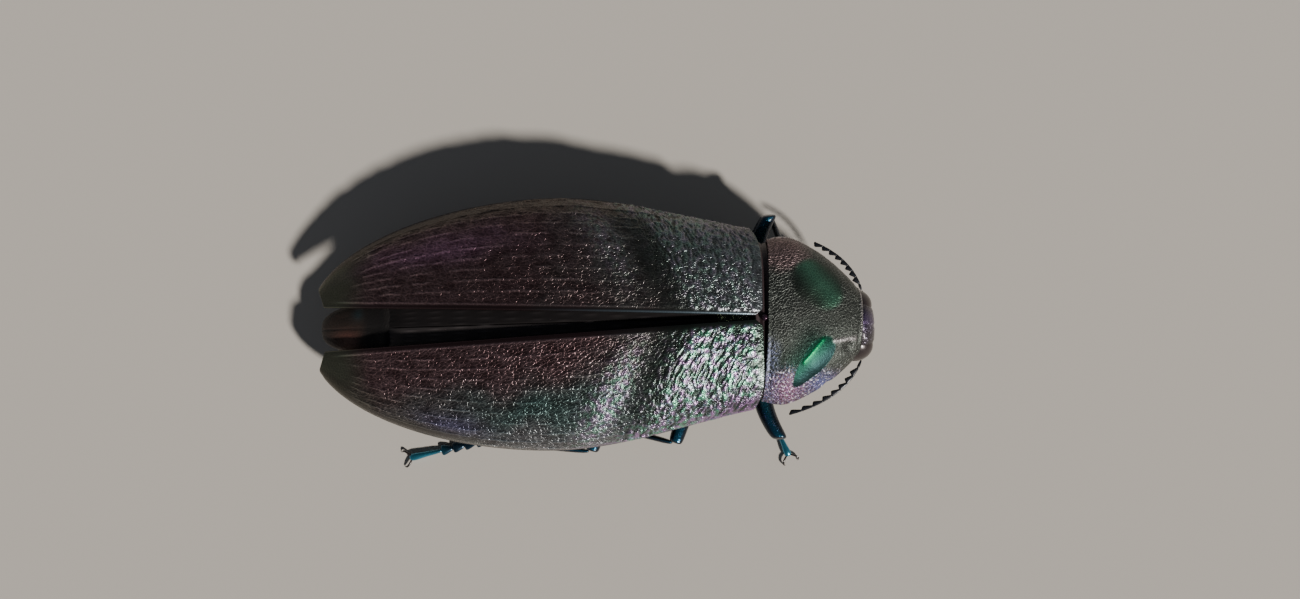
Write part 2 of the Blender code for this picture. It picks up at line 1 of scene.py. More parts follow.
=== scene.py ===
"""Looks of a life-size giant metallic jewel beetle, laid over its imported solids.

Lengths in the classes are millimetres in the beetle's own axes: head along +X, left side +Y,
up +Z, midline at y = 0. BodyPlan.to_frame turns them into metres in the model's frame.
"""

import json
import logging
import math
from dataclasses import dataclass
from enum import Enum
from typing import Callable, Sequence

import bpy
import numpy as np
from mathutils import Matrix, Vector

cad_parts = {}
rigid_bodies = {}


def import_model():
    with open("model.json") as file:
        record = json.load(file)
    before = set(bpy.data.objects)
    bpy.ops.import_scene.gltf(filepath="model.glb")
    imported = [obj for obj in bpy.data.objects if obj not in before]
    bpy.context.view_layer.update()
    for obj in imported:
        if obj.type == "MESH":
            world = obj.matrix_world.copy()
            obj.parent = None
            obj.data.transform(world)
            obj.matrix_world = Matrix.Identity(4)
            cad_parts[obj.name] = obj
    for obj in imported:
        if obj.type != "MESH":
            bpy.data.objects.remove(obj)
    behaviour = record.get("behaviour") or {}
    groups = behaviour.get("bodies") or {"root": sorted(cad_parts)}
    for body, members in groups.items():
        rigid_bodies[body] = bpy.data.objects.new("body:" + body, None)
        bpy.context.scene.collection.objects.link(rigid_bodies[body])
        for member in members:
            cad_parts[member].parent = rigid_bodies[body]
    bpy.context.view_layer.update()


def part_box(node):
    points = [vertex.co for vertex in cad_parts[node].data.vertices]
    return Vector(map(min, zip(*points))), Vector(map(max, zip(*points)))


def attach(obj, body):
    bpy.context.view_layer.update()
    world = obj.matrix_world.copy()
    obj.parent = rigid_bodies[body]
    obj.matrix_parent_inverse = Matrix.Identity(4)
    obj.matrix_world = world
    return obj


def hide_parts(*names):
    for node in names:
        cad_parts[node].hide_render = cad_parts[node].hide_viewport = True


Array = np.ndarray
Colour = tuple[float, float, float]
Point = tuple[float, float, float]
Piece = bpy.types.Object

MM = 0.001
SPAN = 60.0         # millimetres that a sheet's "along" and "out" attributes spread over 0 to 1
LOG = logging.getLogger("jewel_beetle")


# ---------------------------------------------------------------- shape mathematics

def blend(start: Array, end: Array, share: Array) -> Array:
    """Mix two values or arrays.

    Args:
        start: Value at share 0.
        end: Value at share 1.
        share: Place between them.

    Returns:
        The mixed value.
    """
    return start + (end - start) * share


def ramp(value: Array, low: float, high: float) -> Array:
    """Smooth step between two limits; low may be the larger one.

    Args:
        value: Values to grade.
        low: Limit where the step is 0.
        high: Limit where the step is 1.

    Returns:
        Grades from 0 to 1.
    """
    share = np.clip((value - low) / (high - low), 0.0, 1.0)
    return share * share * (3.0 - 2.0 * share)


def mound(distance: Array, width: float) -> Array:
    """Bell-shaped rise.

    Args:
        distance: Distance from the middle.
        width: Distance at which the rise has fallen to about a third.

    Returns:
        Heights from 0 to 1.
    """
    return np.exp(-((distance / width) ** 2))


def bulge(ratio: Array, power: Array) -> Array:
    """Share of a super-ellipse for a sine or cosine, with its sign kept."""
    return np.sign(ratio) * np.abs(ratio) ** (2.0 / power)


def hoop(turn: Array, above_power: float, below_power: float) -> tuple[Array, Array, Array]:
    """Closed section that is arched above its rims and keeled below them.

    Args:
        turn: Angles round it, from the left rim over the top.
        above_power: Power of the upper half.
        below_power: Power of the lower half.

    Returns:
        Whether each point is above the rims, and its shares across and up.
    """
    above = turn <= math.pi
    power = np.where(above, above_power, below_power)
    return above, bulge(np.cos(turn), power), bulge(np.sin(turn), power)


class Grain:
    """Seeded smooth noise over two coordinates, one cell to a unit."""

    CELLS = 128

    def __init__(self, seed: int) -> None:
        """Draw the lattice of slopes.

        Args:
            seed: Number that fixes the pattern.
        """
        turns = np.random.default_rng(seed).uniform(0.0, 2.0 * math.pi, (self.CELLS, self.CELLS))
        self._slopes = np.stack((np.cos(turns), np.sin(turns)))

    def at(self, u: Array, v: Array) -> Array:
        """Read the noise.

        Args:
            u: First coordinate, in cells.
            v: Second coordinate, in cells.

        Returns:
            Values of about -0.7 to 0.7.
        """
        cell_u, cell_v = np.floor(u).astype(int), np.floor(v).astype(int)
        in_u, in_v = u - cell_u, v - cell_v

        def pull(step_u: int, step_v: int) -> Array:
            """Slope of one lattice corner times the way to it."""
            slope = self._slopes[:, (cell_u + step_u) % self.CELLS, (cell_v + step_v) % self.CELLS]
            return slope[0] * (in_u - step_u) + slope[1] * (in_v - step_v)

        ease_u = in_u**3 * (in_u * (in_u * 6.0 - 15.0) + 10.0)
        ease_v = in_v**3 * (in_v * (in_v * 6.0 - 15.0) + 10.0)
        near = blend(pull(0, 0), pull(1, 0), ease_u)
        far = blend(pull(0, 1), pull(1, 1), ease_u)
        return blend(near, far, ease_v)

    def crests(self, u: Array, v: Array, sharpness: float) -> Array:
        """Net of wandering crest lines.

        Args:
            u: First coordinate, in cells.
            v: Second coordinate, in cells.
            sharpness: How narrow the crests are.

        Returns:
            1 on a crest, falling to 0 between them.
        """
        return np.exp(-((self.at(u, v) * sharpness) ** 2))


@dataclass(frozen=True)
class BodyPlan:
    """Outlines that neighbouring shells share."""

    shift: Point = (0.0, 0.0, 0.0)
    case_base: float = 17.6
    case_length: float = 47.7
    case_plan_length: float = 48.5
    case_base_width: float = 9.45
    case_full_width: float = 12.45
    case_widest: float = 21.1
    case_wall: float = 0.55
    crown_share: float = 0.22
    crown: float = 14.5
    crown_front: float = 13.3
    crown_tail: float = 5.9
    rim_front: float = 8.3
    rim_tail: float = 5.0
    wing_gap: float = 0.45
    trunk_inset: float = 1.0
    flank_drop: float = 0.9
    keel_front: float = 2.7
    keel_tail: float = 3.9
    wing_end: float = -22.3
    abdomen_tip: float = -29.95
    neck_x: float = 14.5
    neck_lean: float = 0.052
    shield_turn: float = 0.055
    pronotum_base: float = 18.4
    pronotum_front: float = 28.2
    pronotum_half_width: float = 8.8
    pronotum_widest: float = 20.2
    pronotum_plan: float = 30.0
    arch_power: float = 2.25
    belly_power: float = 1.7
    seam: float = 0.25

    def case_width(self, back: Array) -> Array:
        """Half-width of the closed wing cases at a distance back from their base."""
        near = np.clip(back / self.case_widest, 0.0, 1.0) ** 1.3
        front = blend(self.case_base_width, self.case_full_width, np.sin(near * math.pi / 2))
        far = (back - self.case_widest) / (self.case_plan_length - self.case_widest)
        rear = self.case_full_width * np.maximum(0.0, 1.0 - np.clip(far, 0.0, 1.0) ** 1.8) ** 0.55
        return np.where(back <= self.case_widest, front, rear)

    def back_height(self, back: Array) -> Array:
        """Height of the crown of the back along the wing cases."""
        share, top = back / self.case_length, self.crown_share
        front = blend(self.crown, self.crown_front, np.clip((top - share) / top, 0.0, 2.0) ** 2)
        rear = blend(self.crown, self.crown_tail, np.clip((share - top) / (1.0 - top), 0.0, 2.0) ** 1.9)
        return np.where(share < top, front, rear)

    def rim_height(self, back: Array) -> Array:
        """Height of the side rim of the wing cases."""
        return blend(self.rim_front, self.rim_tail, np.clip(back / self.case_length, 0.0, 1.0) ** 1.5)

    def flank_width(self, x: Array) -> Array:
        """Half-width of the trunk."""
        return np.maximum(0.5, self.case_width(self.case_base - x) - self.trunk_inset)

    def flank_height(self, x: Array) -> Array:
        """Height of the trunk's side edge."""
        return self.rim_height(self.case_base - x) - self.flank_drop

    def keel_height(self, x: Array) -> Array:
        """Height of the middle of the belly."""
        return blend(self.keel_front, self.keel_tail, np.maximum(0.0, x / self.abdomen_tip) ** 2)

    def wing_crown(self, x: Array) -> Array:
        """Height of the folded wings along the back."""
        return self.back_height(self.case_base - x) - self.case_wall - self.wing_gap

    def pronotum_width(self, x: Array) -> Array:
        """Half-width of the pronotum."""
        near = (self.pronotum_widest - x) / (self.pronotum_widest - self.pronotum_base)
        far = (x - self.pronotum_widest) / (self.pronotum_plan - self.pronotum_widest)
        rear = self.pronotum_half_width - 0.2 * near**2
        front = self.pronotum_half_width * (1.0 - np.clip(far, 0.0, 1.0) ** 1.4) ** 0.70
        return np.where(x < self.pronotum_widest, rear, front)

    def neck_share(self, x: Array) -> Array:
        """Share of the way from the pronotum's base to its front."""
        share = (x - self.pronotum_base) / (self.pronotum_front - self.pronotum_base)
        return np.clip(share, 0.0, 1.2)

    def lean(self, places: Array) -> Array:
        """Turn fore-body points a little to the right, as the neck does.

        Args:
            places: Points, one to a row.

        Returns:
            The leaning points.
        """
        leaning = np.array(places, float)
        leaning[:, 1] -= self.neck_lean * np.maximum(0.0, leaning[:, 0] - self.neck_x)
        return leaning

    def swing(self, places: Array) -> Array:
        """Turn points of the shield or the breast, which turn with the lean.

        Args:
            places: Points, one to a row.

        Returns:
            The turned points.
        """
        turned = self.lean(places)
        turned[:, 0] += self.shield_turn * places[:, 1]
        return turned

    def to_frame(self, places: Array) -> Array:
        """Turn millimetres in the beetle's axes into metres in the model's frame.

        Args:
            places: Points, one to a row.

        Returns:
            The same points for Blender.
        """
        return (np.asarray(places, float) + np.array(self.shift)) * MM


# ---------------------------------------------------------------- finishes

@dataclass(frozen=True)
class Tint:
    """Colour laid over a shell where an attribute of its mesh is high; a gain multiplies."""

    attribute: str
    colour: Colour
    most: float = 1.0
    gain: bool = False


@dataclass(frozen=True)
class Netting:
    """Fine raised net over a shell, on the millimetres in its 'along' and 'out' attributes."""

    attribute: str
    length: float
    width: float
    depth: float
    # lightens the threads: a painted highlight on their crests
    gain: Colour


@dataclass(frozen=True)
class ShellFinish:
    """Satin metallic cuticle: mottled ground, tinted zones, fine grain, pits and nets."""

    name: str
    ground: Colour
    shade: Colour
    tints: tuple[Tint, ...] = ()
    mottle: float = 1.6
    metallic: float = 0.85
    roughness: float = 0.34
    coat: float = 0.3
    coat_roughness: float = 0.22
    grain: float = 0.16
    grain_depth: float = 0.012
    pit: float = 0.0
    pit_depth: float = 0.0
    nets: tuple[Netting, ...] = ()
    specular: float = 0.5
    rough_spread: float = 0.16
    smooth_share: float = 0.55
    thread: tuple[float, float] = (0.02, 0.20)
    wander: float = 2.2
    wander_size: float = 0.7

    def build(self) -> bpy.types.Material:
        """Lay the finish out as nodes.

        Returns:
            The material.
        """
        material = bpy.data.materials.new(self.name)
        material.use_nodes = True
        tree = material.node_tree
        shader = tree.nodes["Principled BSDF"]
        shader.inputs["Metallic"].default_value = self.metallic
        shader.inputs["Specular IOR Level"].default_value = self.specular
        shader.inputs["Coat Weight"].default_value = self.coat
        shader.inputs["Coat Roughness"].default_value = self.coat_roughness
        places = tree.nodes.new("ShaderNodeTexCoord").outputs["Object"]
        mottle = self._noise(tree, places, self.mottle, 3.0)
        ground = self._mix(tree, mottle, self.ground, self.shade)
        for tint in self.tints:
            amount = self._maths(tree, "MULTIPLY", self._layer(tree, tint.attribute), tint.most)
            ground = self._mix(tree, amount, ground, tint.colour, tint.gain)
        lines = [self._line(tree, net, places) for net in self.nets]
        for net, line in zip(self.nets, lines):
            ground = self._mix(tree, line, ground, net.gain, True)
        tree.links.new(ground, shader.inputs["Base Color"])
        matt = self._maths(tree, "SUBTRACT", 1.0, self._layer(tree, "smooth"))
        grain = self._noise(tree, places, self.grain, 2.0)
        least = self.roughness - 0.5 * self.rough_spread
        rough = self._maths(tree, "MULTIPLY_ADD", grain, self.rough_spread, least)
        kept = self._maths(tree, "MULTIPLY_ADD", matt, 1.0 - self.smooth_share, self.smooth_share)
        tree.links.new(self._maths(tree, "MULTIPLY", rough, kept), shader.inputs["Roughness"])
        height = self._maths(tree, "MULTIPLY", grain, self.grain_depth)
        if self.pit:
            cells = tree.nodes.new("ShaderNodeTexVoronoi")
            cells.inputs["Scale"].default_value = 1.0 / (self.pit * MM)
            tree.links.new(places, cells.inputs["Vector"])
            cup = self._maths(tree, "MULTIPLY", cells.outputs["Distance"], self.pit_depth * 1.6)
            height = self._maths(tree, "ADD", height, cup)
        for net, line in zip(self.nets, lines):
            height = self._maths(tree, "MULTIPLY_ADD", line, net.depth, height)
        height = self._maths(tree, "MULTIPLY", height, matt)
        bump = tree.nodes.new("ShaderNodeBump")
        bump.inputs["Distance"].default_value = MM
        tree.links.new(height, bump.inputs["Height"])
        tree.links.new(bump.outputs["Normal"], shader.inputs["Normal"])
        return material

    @staticmethod
    def _layer(tree: bpy.types.NodeTree, name: str) -> bpy.types.NodeSocket:
        """Read one of the mesh's attributes."""
        node = tree.nodes.new("ShaderNodeAttribute")
        node.attribute_name = name
        return node.outputs["Fac"]

    def _line(self, tree: bpy.types.NodeTree, net: Netting,
              places: bpy.types.NodeSocket) -> bpy.types.NodeSocket:
        """Draw one net: 1 on its threads where its attribute is 1, else 0."""
        grid = tree.nodes.new("ShaderNodeCombineXYZ")
        stray = self._maths(tree, "SUBTRACT", self._noise(tree, places, self.wander_size, 2.0), 0.5)
        for socket, key, size in ((0, "along", net.length), (1, "out", net.width)):
            cells = self._maths(tree, "MULTIPLY", self._layer(tree, key), SPAN / size)
            cells = self._maths(tree, "MULTIPLY_ADD", stray, self.wander, cells)
            tree.links.new(cells, grid.inputs[socket])
        mesh = tree.nodes.new("ShaderNodeTexVoronoi")
        mesh.voronoi_dimensions = "2D"
        mesh.feature = "DISTANCE_TO_EDGE"
        mesh.inputs["Scale"].default_value = 1.0
        tree.links.new(grid.outputs["Vector"], mesh.inputs["Vector"])
        thread = tree.nodes.new("ShaderNodeMapRange")
        thread.interpolation_type = "SMOOTHSTEP"
        for key, value in zip(("From Min", "From Max", "To Min", "To Max"), (*self.thread, 1.0, 0.0)):
            thread.inputs[key].default_value = value
        tree.links.new(mesh.outputs["Distance"], thread.inputs["Value"])
        return self._maths(tree, "MULTIPLY", thread.outputs["Result"], self._layer(tree, net.attribute))

    @staticmethod
    def _noise(tree: bpy.types.NodeTree, places: bpy.types.NodeSocket, size: float,
               detail: float) -> bpy.types.NodeSocket:
        """Add noise whose features are size millimetres across."""
        noise = tree.nodes.new("ShaderNodeTexNoise")
        noise.inputs["Scale"].default_value = 1.0 / (size * MM)
        noise.inputs["Detail"].default_value = detail
        tree.links.new(places, noise.inputs["Vector"])
        return noise.outputs["Fac"]

    @staticmethod
    def _maths(tree: bpy.types.NodeTree, operation: str, *values: object) -> bpy.types.NodeSocket:
        """Add a Math node; each value is a socket or a number."""
        node = tree.nodes.new("ShaderNodeMath")
        node.operation = operation
        for socket, value in zip(node.inputs, values):
            if isinstance(value, (int, float)):
                socket.default_value = value
            else:
                tree.links.new(value, socket)
        return node.outputs[0]

    @staticmethod
    def _mix(tree: bpy.types.NodeTree, share: bpy.types.NodeSocket, first: object,
             second: object, gain: bool = False) -> bpy.types.NodeSocket:
        """Add a colour mix, or a gain on the first; each side is a socket or a colour."""
        node = tree.nodes.new("ShaderNodeMix")
        node.data_type = "RGBA"
        node.blend_type = "MULTIPLY" if gain else "MIX"
        tree.links.new(share, node.inputs["Factor"])
        for key, value in (("A", first), ("B", second)):
            socket = next(item for item in node.inputs if item.name == key and item.type == "RGBA")
            if isinstance(value, tuple):
                socket.default_value = (*value, 1.0)
            else:
                tree.links.new(value, socket)
        return next(item for item in node.outputs if item.type == "RGBA")


WING_TINTS = (
    Tint("base", (0.036, 0.050, 0.041)),
    Tint("maroon", (0.056, 0.031, 0.033)),
    Tint("border", (0.084, 0.086, 0.062)),
    Tint("violet", (0.105, 0.052, 0.082)),
    Tint("copper", (0.038, 0.029, 0.024)),
    Tint("silver", (0.085, 0.088, 0.096)),
    Tint("teal", (0.022, 0.046, 0.042)),
    Tint("blue", (0.052, 0.042, 0.110)),
    # painted shade behind and between the front folds
    Tint("painted_shade_and_dark_spot", (0.012, 0.024, 0.018)),
    Tint("rose", (0.200, 0.080, 0.330)),
    # painted highlights: lighter ribs and suture, then white, green, violet and blue glints on the fold
    # crests
    Tint("crest", (3.8, 4.2, 4.2), gain=True),
    Tint("sheen", (0.370, 0.410, 0.430), 0.7),
    Tint("green_glint", (0.050, 0.380, 0.200), 0.8),
    Tint("pink_glint", (0.350, 0.150, 0.420), 0.75),
    Tint("blue_glint", (0.150, 0.280, 0.540), 0.75),
    # painted highlight: a pale line along the left case's seam
    Tint("margin_highlight", (0.220, 0.300, 0.360), 0.9),
)
# each net's gain lightens its threads: a painted highlight on their crests
WING_NETS = (
    Netting("net", length=0.62, width=0.32, depth=0.034, gain=(2.0, 2.0, 2.0)),
    Netting("grit", length=0.30, width=0.26, depth=0.024, gain=(1.8, 1.8, 1.8)),
    Netting("stria", length=0.20, width=1.60, depth=0.018, gain=(1.7, 1.6, 1.6)),
)
PRONOTUM_TINTS = (
    Tint("rose", (0.124, 0.094, 0.093)),
    Tint("violet", (0.086, 0.070, 0.112)),
    Tint("blue", (0.130, 0.150, 0.230)),
    # painted shade beside the right mark's keel
    Tint("shade", (0.006, 0.022, 0.016)),
    # the left mark's own dark colour
    Tint("painted_shade_and_dark_spot", (0.040, 0.048, 0.042)),
    Tint("emerald", (0.072, 0.180, 0.120)),
    Tint("deep", (0.006, 0.029, 0.021)),
    Tint("teal", (0.012, 0.030, 0.031)),
    # painted highlights: the keel's green glint, pale lines on the rims and front fold, and pink, blue
    # and white glints on the side toward the lamp
    Tint("glint", (0.004, 0.110, 0.045)),
    Tint("margin_highlight", (0.260, 0.250, 0.250), 0.8),
    Tint("pink_glint", (0.420, 0.200, 0.310), 0.9),
    Tint("blue_glint", (0.130, 0.210, 0.560), 0.9),
    Tint("sheen", (0.900, 0.900, 0.950), 0.9),
)
# the grit net's gain paints glints on the grain
PRONOTUM_NETS = (
    Netting("grit", length=0.32, width=0.28, depth=0.040, gain=(2.4, 2.3, 2.4)),
)
WING_CASE_FINISH = ShellFinish(
    "wing_case_shell", ground=(0.044, 0.047, 0.043), shade=(0.056, 0.038, 0.041),
    tints=WING_TINTS, mottle=1.3, metallic=0.85, roughness=0.33, coat=0.12, coat_roughness=0.24,
    grain=0.12, grain_depth=0.018, nets=WING_NETS, specular=0.2)
PRONOTUM_FINISH = ShellFinish(
    "pronotum_shell", ground=(0.062, 0.072, 0.064), shade=(0.050, 0.054, 0.050),
    tints=PRONOTUM_TINTS, mottle=1.2, metallic=0.85, roughness=0.44, coat=0.0,
    coat_roughness=0.30, grain=0.10, grain_depth=0.022, nets=PRONOTUM_NETS, specular=0.1)
HEAD_FINISH = ShellFinish(
    "head_shell", ground=(0.036, 0.028, 0.032), shade=(0.030, 0.026, 0.034),
    tints=(Tint("violet", (0.060, 0.036, 0.100), 0.9), Tint("glint", (0.420, 0.380, 0.520))),
    mottle=0.5, metallic=0.7, roughness=0.34, coat=0.4, coat_roughness=0.2,
    grain=0.10, grain_depth=0.02, pit=0.16, pit_depth=0.035)
EYE_FINISH = ShellFinish(
    "eye_lens", ground=(0.022, 0.015, 0.016), shade=(0.030, 0.020, 0.020),
    mottle=0.8, metallic=0.3, roughness=0.30, coat=0.3, coat_roughness=0.15,
    grain=0.4, grain_depth=0.0, pit=0.07, pit_depth=0.004)
JAW_FINISH = ShellFinish(
    "jaw_horn", ground=(0.014, 0.010, 0.009), shade=(0.028, 0.016, 0.012),
    mottle=0.5, metallic=0.1, roughness=0.26, coat=0.5, coat_roughness=0.12,
    grain=0.2, grain_depth=0.01)
FEELER_FINISH = ShellFinish(
    "feeler_shell", ground=(0.020, 0.018, 0.022), shade=(0.014, 0.020, 0.030),
    tints=(Tint("edge", (0.05, 0.06, 0.09)),),
    mottle=0.4, metallic=0.5, roughness=0.36, coat=0.3, coat_roughness=0.25,
    grain=0.09, grain_depth=0.012)
SCUTELLUM_FINISH = ShellFinish(
    "scutellum_shell", ground=(0.060, 0.024, 0.040), shade=(0.040, 0.022, 0.044),
    mottle=0.3, metallic=0.7, roughness=0.26, coat=0.5, coat_roughness=0.15,
    grain=0.1, grain_depth=0.01)
COLLAR_FINISH = ShellFinish(
    "collar_skin", ground=(0.050, 0.030, 0.032), shade=(0.034, 0.022, 0.026),
    mottle=0.5, metallic=0.2, roughness=0.45, coat=0.2, coat_roughness=0.3,
    grain=0.10, grain_depth=0.015)
UNDERSIDE_FINISH = ShellFinish(
    "underside_shell", ground=(0.085, 0.092, 0.045), shade=(0.050, 0.090, 0.058),
    tints=(Tint("copper", (0.160, 0.080, 0.045), 0.8), Tint("groove", (0.014, 0.012, 0.010), 0.8)),
    mottle=2.2, metallic=0.85, roughness=0.32, coat=0.4, coat_roughness=0.2,
    grain=0.12, grain_depth=0.015, pit=0.30, pit_depth=0.045)
TAIL_FINISH = ShellFinish(
    "abdomen_back", ground=(0.034, 0.022, 0.018), shade=(0.026, 0.020, 0.017),
    # the reddish tint is partly the plate's colour and partly painted light on its shaded right side;
    # the darkest tint marks the middle line and paints shade under the wing ends
    tints=(Tint("copper", (0.080, 0.034, 0.028)), Tint("blue", (0.018, 0.034, 0.040), 0.8),
           Tint("groove", (0.012, 0.011, 0.011))),
    mottle=0.9, metallic=0.0, roughness=0.50, coat=0.0, coat_roughness=0.3,
    grain=0.12, grain_depth=0.014, pit=0.20, pit_depth=0.02, specular=0.22)
FOLDED_WING_FINISH = ShellFinish(
    "folded_wing_skin", ground=(0.010, 0.009, 0.010), shade=(0.012, 0.010, 0.010),
    # the lighter tint lifts the right wing, which lies in the right wing case's shadow: painted light
    # that offsets that shadow
    tints=(Tint("under", (0.034, 0.030, 0.031)), Tint("vein", (2.0, 2.0, 2.0), gain=True)),
    mottle=1.8, metallic=0.0, roughness=0.55, coat=0.0, coat_roughness=0.3,
    grain=0.4, grain_depth=0.004, specular=0.16)
LEG_FINISH = ShellFinish(
    "leg_shell", ground=(0.016, 0.028, 0.046), shade=(0.014, 0.018, 0.030),
    # cyan painted highlight on the faces that look straight up or down
    tints=(Tint("edge", (0.030, 0.150, 0.260), 0.9),),
    mottle=1.0, metallic=0.8, roughness=0.28, coat=0.4, coat_roughness=0.18,
    grain=0.16, grain_depth=0.010, pit=0.20, pit_depth=0.02)
FOOT_FINISH = ShellFinish(
    "foot_shell", ground=(0.016, 0.050, 0.085), shade=(0.014, 0.034, 0.060),
    tints=(Tint("tip", (0.060, 0.300, 0.430), 0.95),),
    mottle=0.6, metallic=0.8, roughness=0.26, coat=0.4, coat_roughness=0.18,
    grain=0.12, grain_depth=0.01)
CLAW_FINISH = ShellFinish(
    "claw_horn", ground=(0.012, 0.010, 0.013), shade=(0.022, 0.016, 0.016),
    mottle=0.3, metallic=0.1, roughness=0.28, coat=0.5, coat_roughness=0.15,
    grain=0.2, grain_depth=0.006)
PAD_FINISH = ShellFinish(
    "sole_pad", ground=(0.080, 0.055, 0.035), shade=(0.110, 0.080, 0.050),
    mottle=0.3, metallic=0.0, roughness=0.75, coat=0.0, coat_roughness=0.3,
    grain=0.08, grain_depth=0.01)


@dataclass(frozen=True)
class FloorFinish:
    """Plain pale studio floor."""

    colour: Colour = (0.54, 0.51, 0.47)
    roughness: float = 0.9

    def build(self) -> bpy.types.Material:
        """Lay the finish out as nodes.

        Returns:
            The material.
        """
        material = bpy.data.materials.new("studio_floor")
        material.use_nodes = True
        shader = material.node_tree.nodes["Principled BSDF"]
        shader.inputs["Base Color"].default_value = (*self.colour, 1.0)
        shader.inputs["Roughness"].default_value = self.roughness
        shader.inputs["Specular IOR Level"].default_value = 0.1
        return material


# ---------------------------------------------------------------- modelling bench

@dataclass(frozen=True)
class Station:
    """Place along a limb, with its half-width and half-height there."""

    along: float
    width: float
    height: float
    side: float = 0.0
    lift: float = 0.0


class Bench:
    """Starts, shapes and hands in pieces with Blender's own tools."""

    def __init__(self, plan: BodyPlan) -> None:
        """Keep the plan and an empty rack of materials.

        Args:
            plan: Outlines and the way into the model's frame.
        """
        self.plan = plan
        self._rack: dict[str, bpy.types.Material] = {}

    def material(self, finish: ShellFinish) -> bpy.types.Material:
        """Take a finish's material from the rack, or build it."""
        if finish.name not in self._rack:
            self._rack[finish.name] = finish.build()
        return self._rack[finish.name]

    @staticmethod
    def clear() -> None:
        """Leave edit mode with nothing selected."""
        if bpy.context.object and bpy.context.object.mode != "OBJECT":
            bpy.ops.object.mode_set(mode="OBJECT")
        bpy.ops.object.select_all(action="DESELECT")

    @staticmethod
    def take(piece: Piece) -> None:
        """Select one piece and make it the active one."""
        Bench.clear()
        piece.select_set(True)
        bpy.context.view_layer.objects.active = piece

    @staticmethod
    def named(name: str) -> Piece:
        """Name the piece that was just added.

        Args:
            name: Name for the object and its mesh.

        Returns:
            The piece.
        """
        piece = bpy.context.object
        piece.name = name
        piece.data.name = name
        return piece

    @staticmethod
    def sheet(name: str, columns: int, rows: int) -> tuple[Piece, Array, Array]:
        """Add a flat sheet of quads, to be bent into a shell.

        Args:
            name: Name of the piece.
            columns: Quads along X.
            rows: Quads along Y.

        Returns:
            The sheet, and its points' shares of the way along X and along Y.
        """
        Bench.clear()
        bpy.ops.mesh.primitive_grid_add(x_subdivisions=columns, y_subdivisions=rows, size=1.0)
        piece = Bench.named(name)
        shares = Bench.points(piece) + 0.5
        return piece, shares[:, 0], shares[:, 1]

    @staticmethod
    def ball(name: str, segments: int, rings: int) -> Piece:
        """Add a unit ball at the origin.

        Args:
            name: Name of the piece.
            segments: Quads round its middle.
            rings: Quads from pole to pole.

        Returns:
            The ball.
        """
        Bench.clear()
        bpy.ops.mesh.primitive_uv_sphere_add(segments=segments, ring_count=rings, radius=1.0)
        return Bench.named(name)

    @staticmethod
    def limb(name: str, stations: Sequence[Station], sides: int = 12, smooth: int = 2) -> Piece:
        """Draw a limb out of a disc along +X, one extrusion to a station.

        Args:
            name: Name of the piece.
            stations: Sections from root to tip.
            sides: Corners of each section.
            smooth: Levels of subdivision.

        Returns:
            The closed limb.
        """
        Bench.clear()
        first = stations[0]
        bpy.ops.mesh.primitive_circle_add(
            vertices=sides, radius=1.0, fill_type="NGON", rotation=(0.0, math.pi / 2, 0.0))
        piece = Bench.named(name)
        bpy.ops.object.transform_apply(location=False, rotation=True, scale=False)
        bpy.ops.object.mode_set(mode="EDIT")
        bpy.ops.mesh.select_all(action="SELECT")
        bpy.ops.transform.resize(value=(1.0, first.width, first.height), center_override=(0.0,) * 3)
        bpy.ops.transform.translate(value=(first.along, first.side, first.lift))
        for before, after in zip(stations, stations[1:]):
            step = (after.along - before.along, after.side - before.side, after.lift - before.lift)
            bpy.ops.mesh.extrude_region_move(TRANSFORM_OT_translate={"value": step})
            bpy.ops.transform.resize(
                value=(1.0, after.width / before.width, after.height / before.height),
                center_override=(after.along, after.side, after.lift))
        bpy.ops.mesh.select_all(action="SELECT")
        bpy.ops.mesh.normals_make_consistent(inside=False)
        bpy.ops.object.mode_set(mode="OBJECT")
        if smooth:
            Bench.modify(piece, "SUBSURF", levels=smooth, render_levels=smooth)
        return piece

    @staticmethod
    def modify(piece: Piece, kind: str, **settings: object) -> None:
        """Add one modifier and apply it.

        Args:
            piece: Piece to change.
            kind: Blender's name of the modifier.
            **settings: Values of the modifier.
        """
        Bench.take(piece)
        bpy.ops.object.modifier_add(type=kind)
        change = piece.modifiers[-1]
        for key, value in settings.items():
            setattr(change, key, value)
        bpy.ops.object.modifier_apply(modifier=change.name)

    @staticmethod
    def points(piece: Piece) -> Array:
        """Read a piece's points, one to a row."""
        places = np.empty(len(piece.data.vertices) * 3)
        piece.data.vertices.foreach_get("co", places)
        return places.reshape(-1, 3)

    @staticmethod
    def normals(piece: Piece) -> Array:
        """Read a piece's point normals, one to a row."""
        ways = np.empty(len(piece.data.vertices) * 3)
        piece.data.vertices.foreach_get("normal", ways)
        return ways.reshape(-1, 3)

    @staticmethod
    def move(piece: Piece, places: Array) -> None:
        """Put a piece's points in new places."""
        piece.data.vertices.foreach_set("co", np.asarray(places, float).ravel())
        piece.data.update()

    @staticmethod
    def mark(piece: Piece, name: str, values: Array) -> None:
        """Write one share per point into an attribute of the mesh."""
        layer = piece.data.attributes.new(name, "FLOAT", "POINT")
        layer.data.foreach_set("value", np.clip(values, 0.0, 1.0).astype(np.float32))

    @staticmethod
    def face_up(piece: Piece, up: bool = True) -> None:
        """Turn a sheet's faces to look up, or down."""
        rise = sum(face.normal.z * face.area for face in piece.data.polygons)
        if (rise > 0.0) != up:
            Bench.take(piece)
            bpy.ops.object.mode_set(mode="EDIT")
            bpy.ops.mesh.select_all(action="SELECT")
            bpy.ops.mesh.flip_normals()
            bpy.ops.object.mode_set(mode="OBJECT")

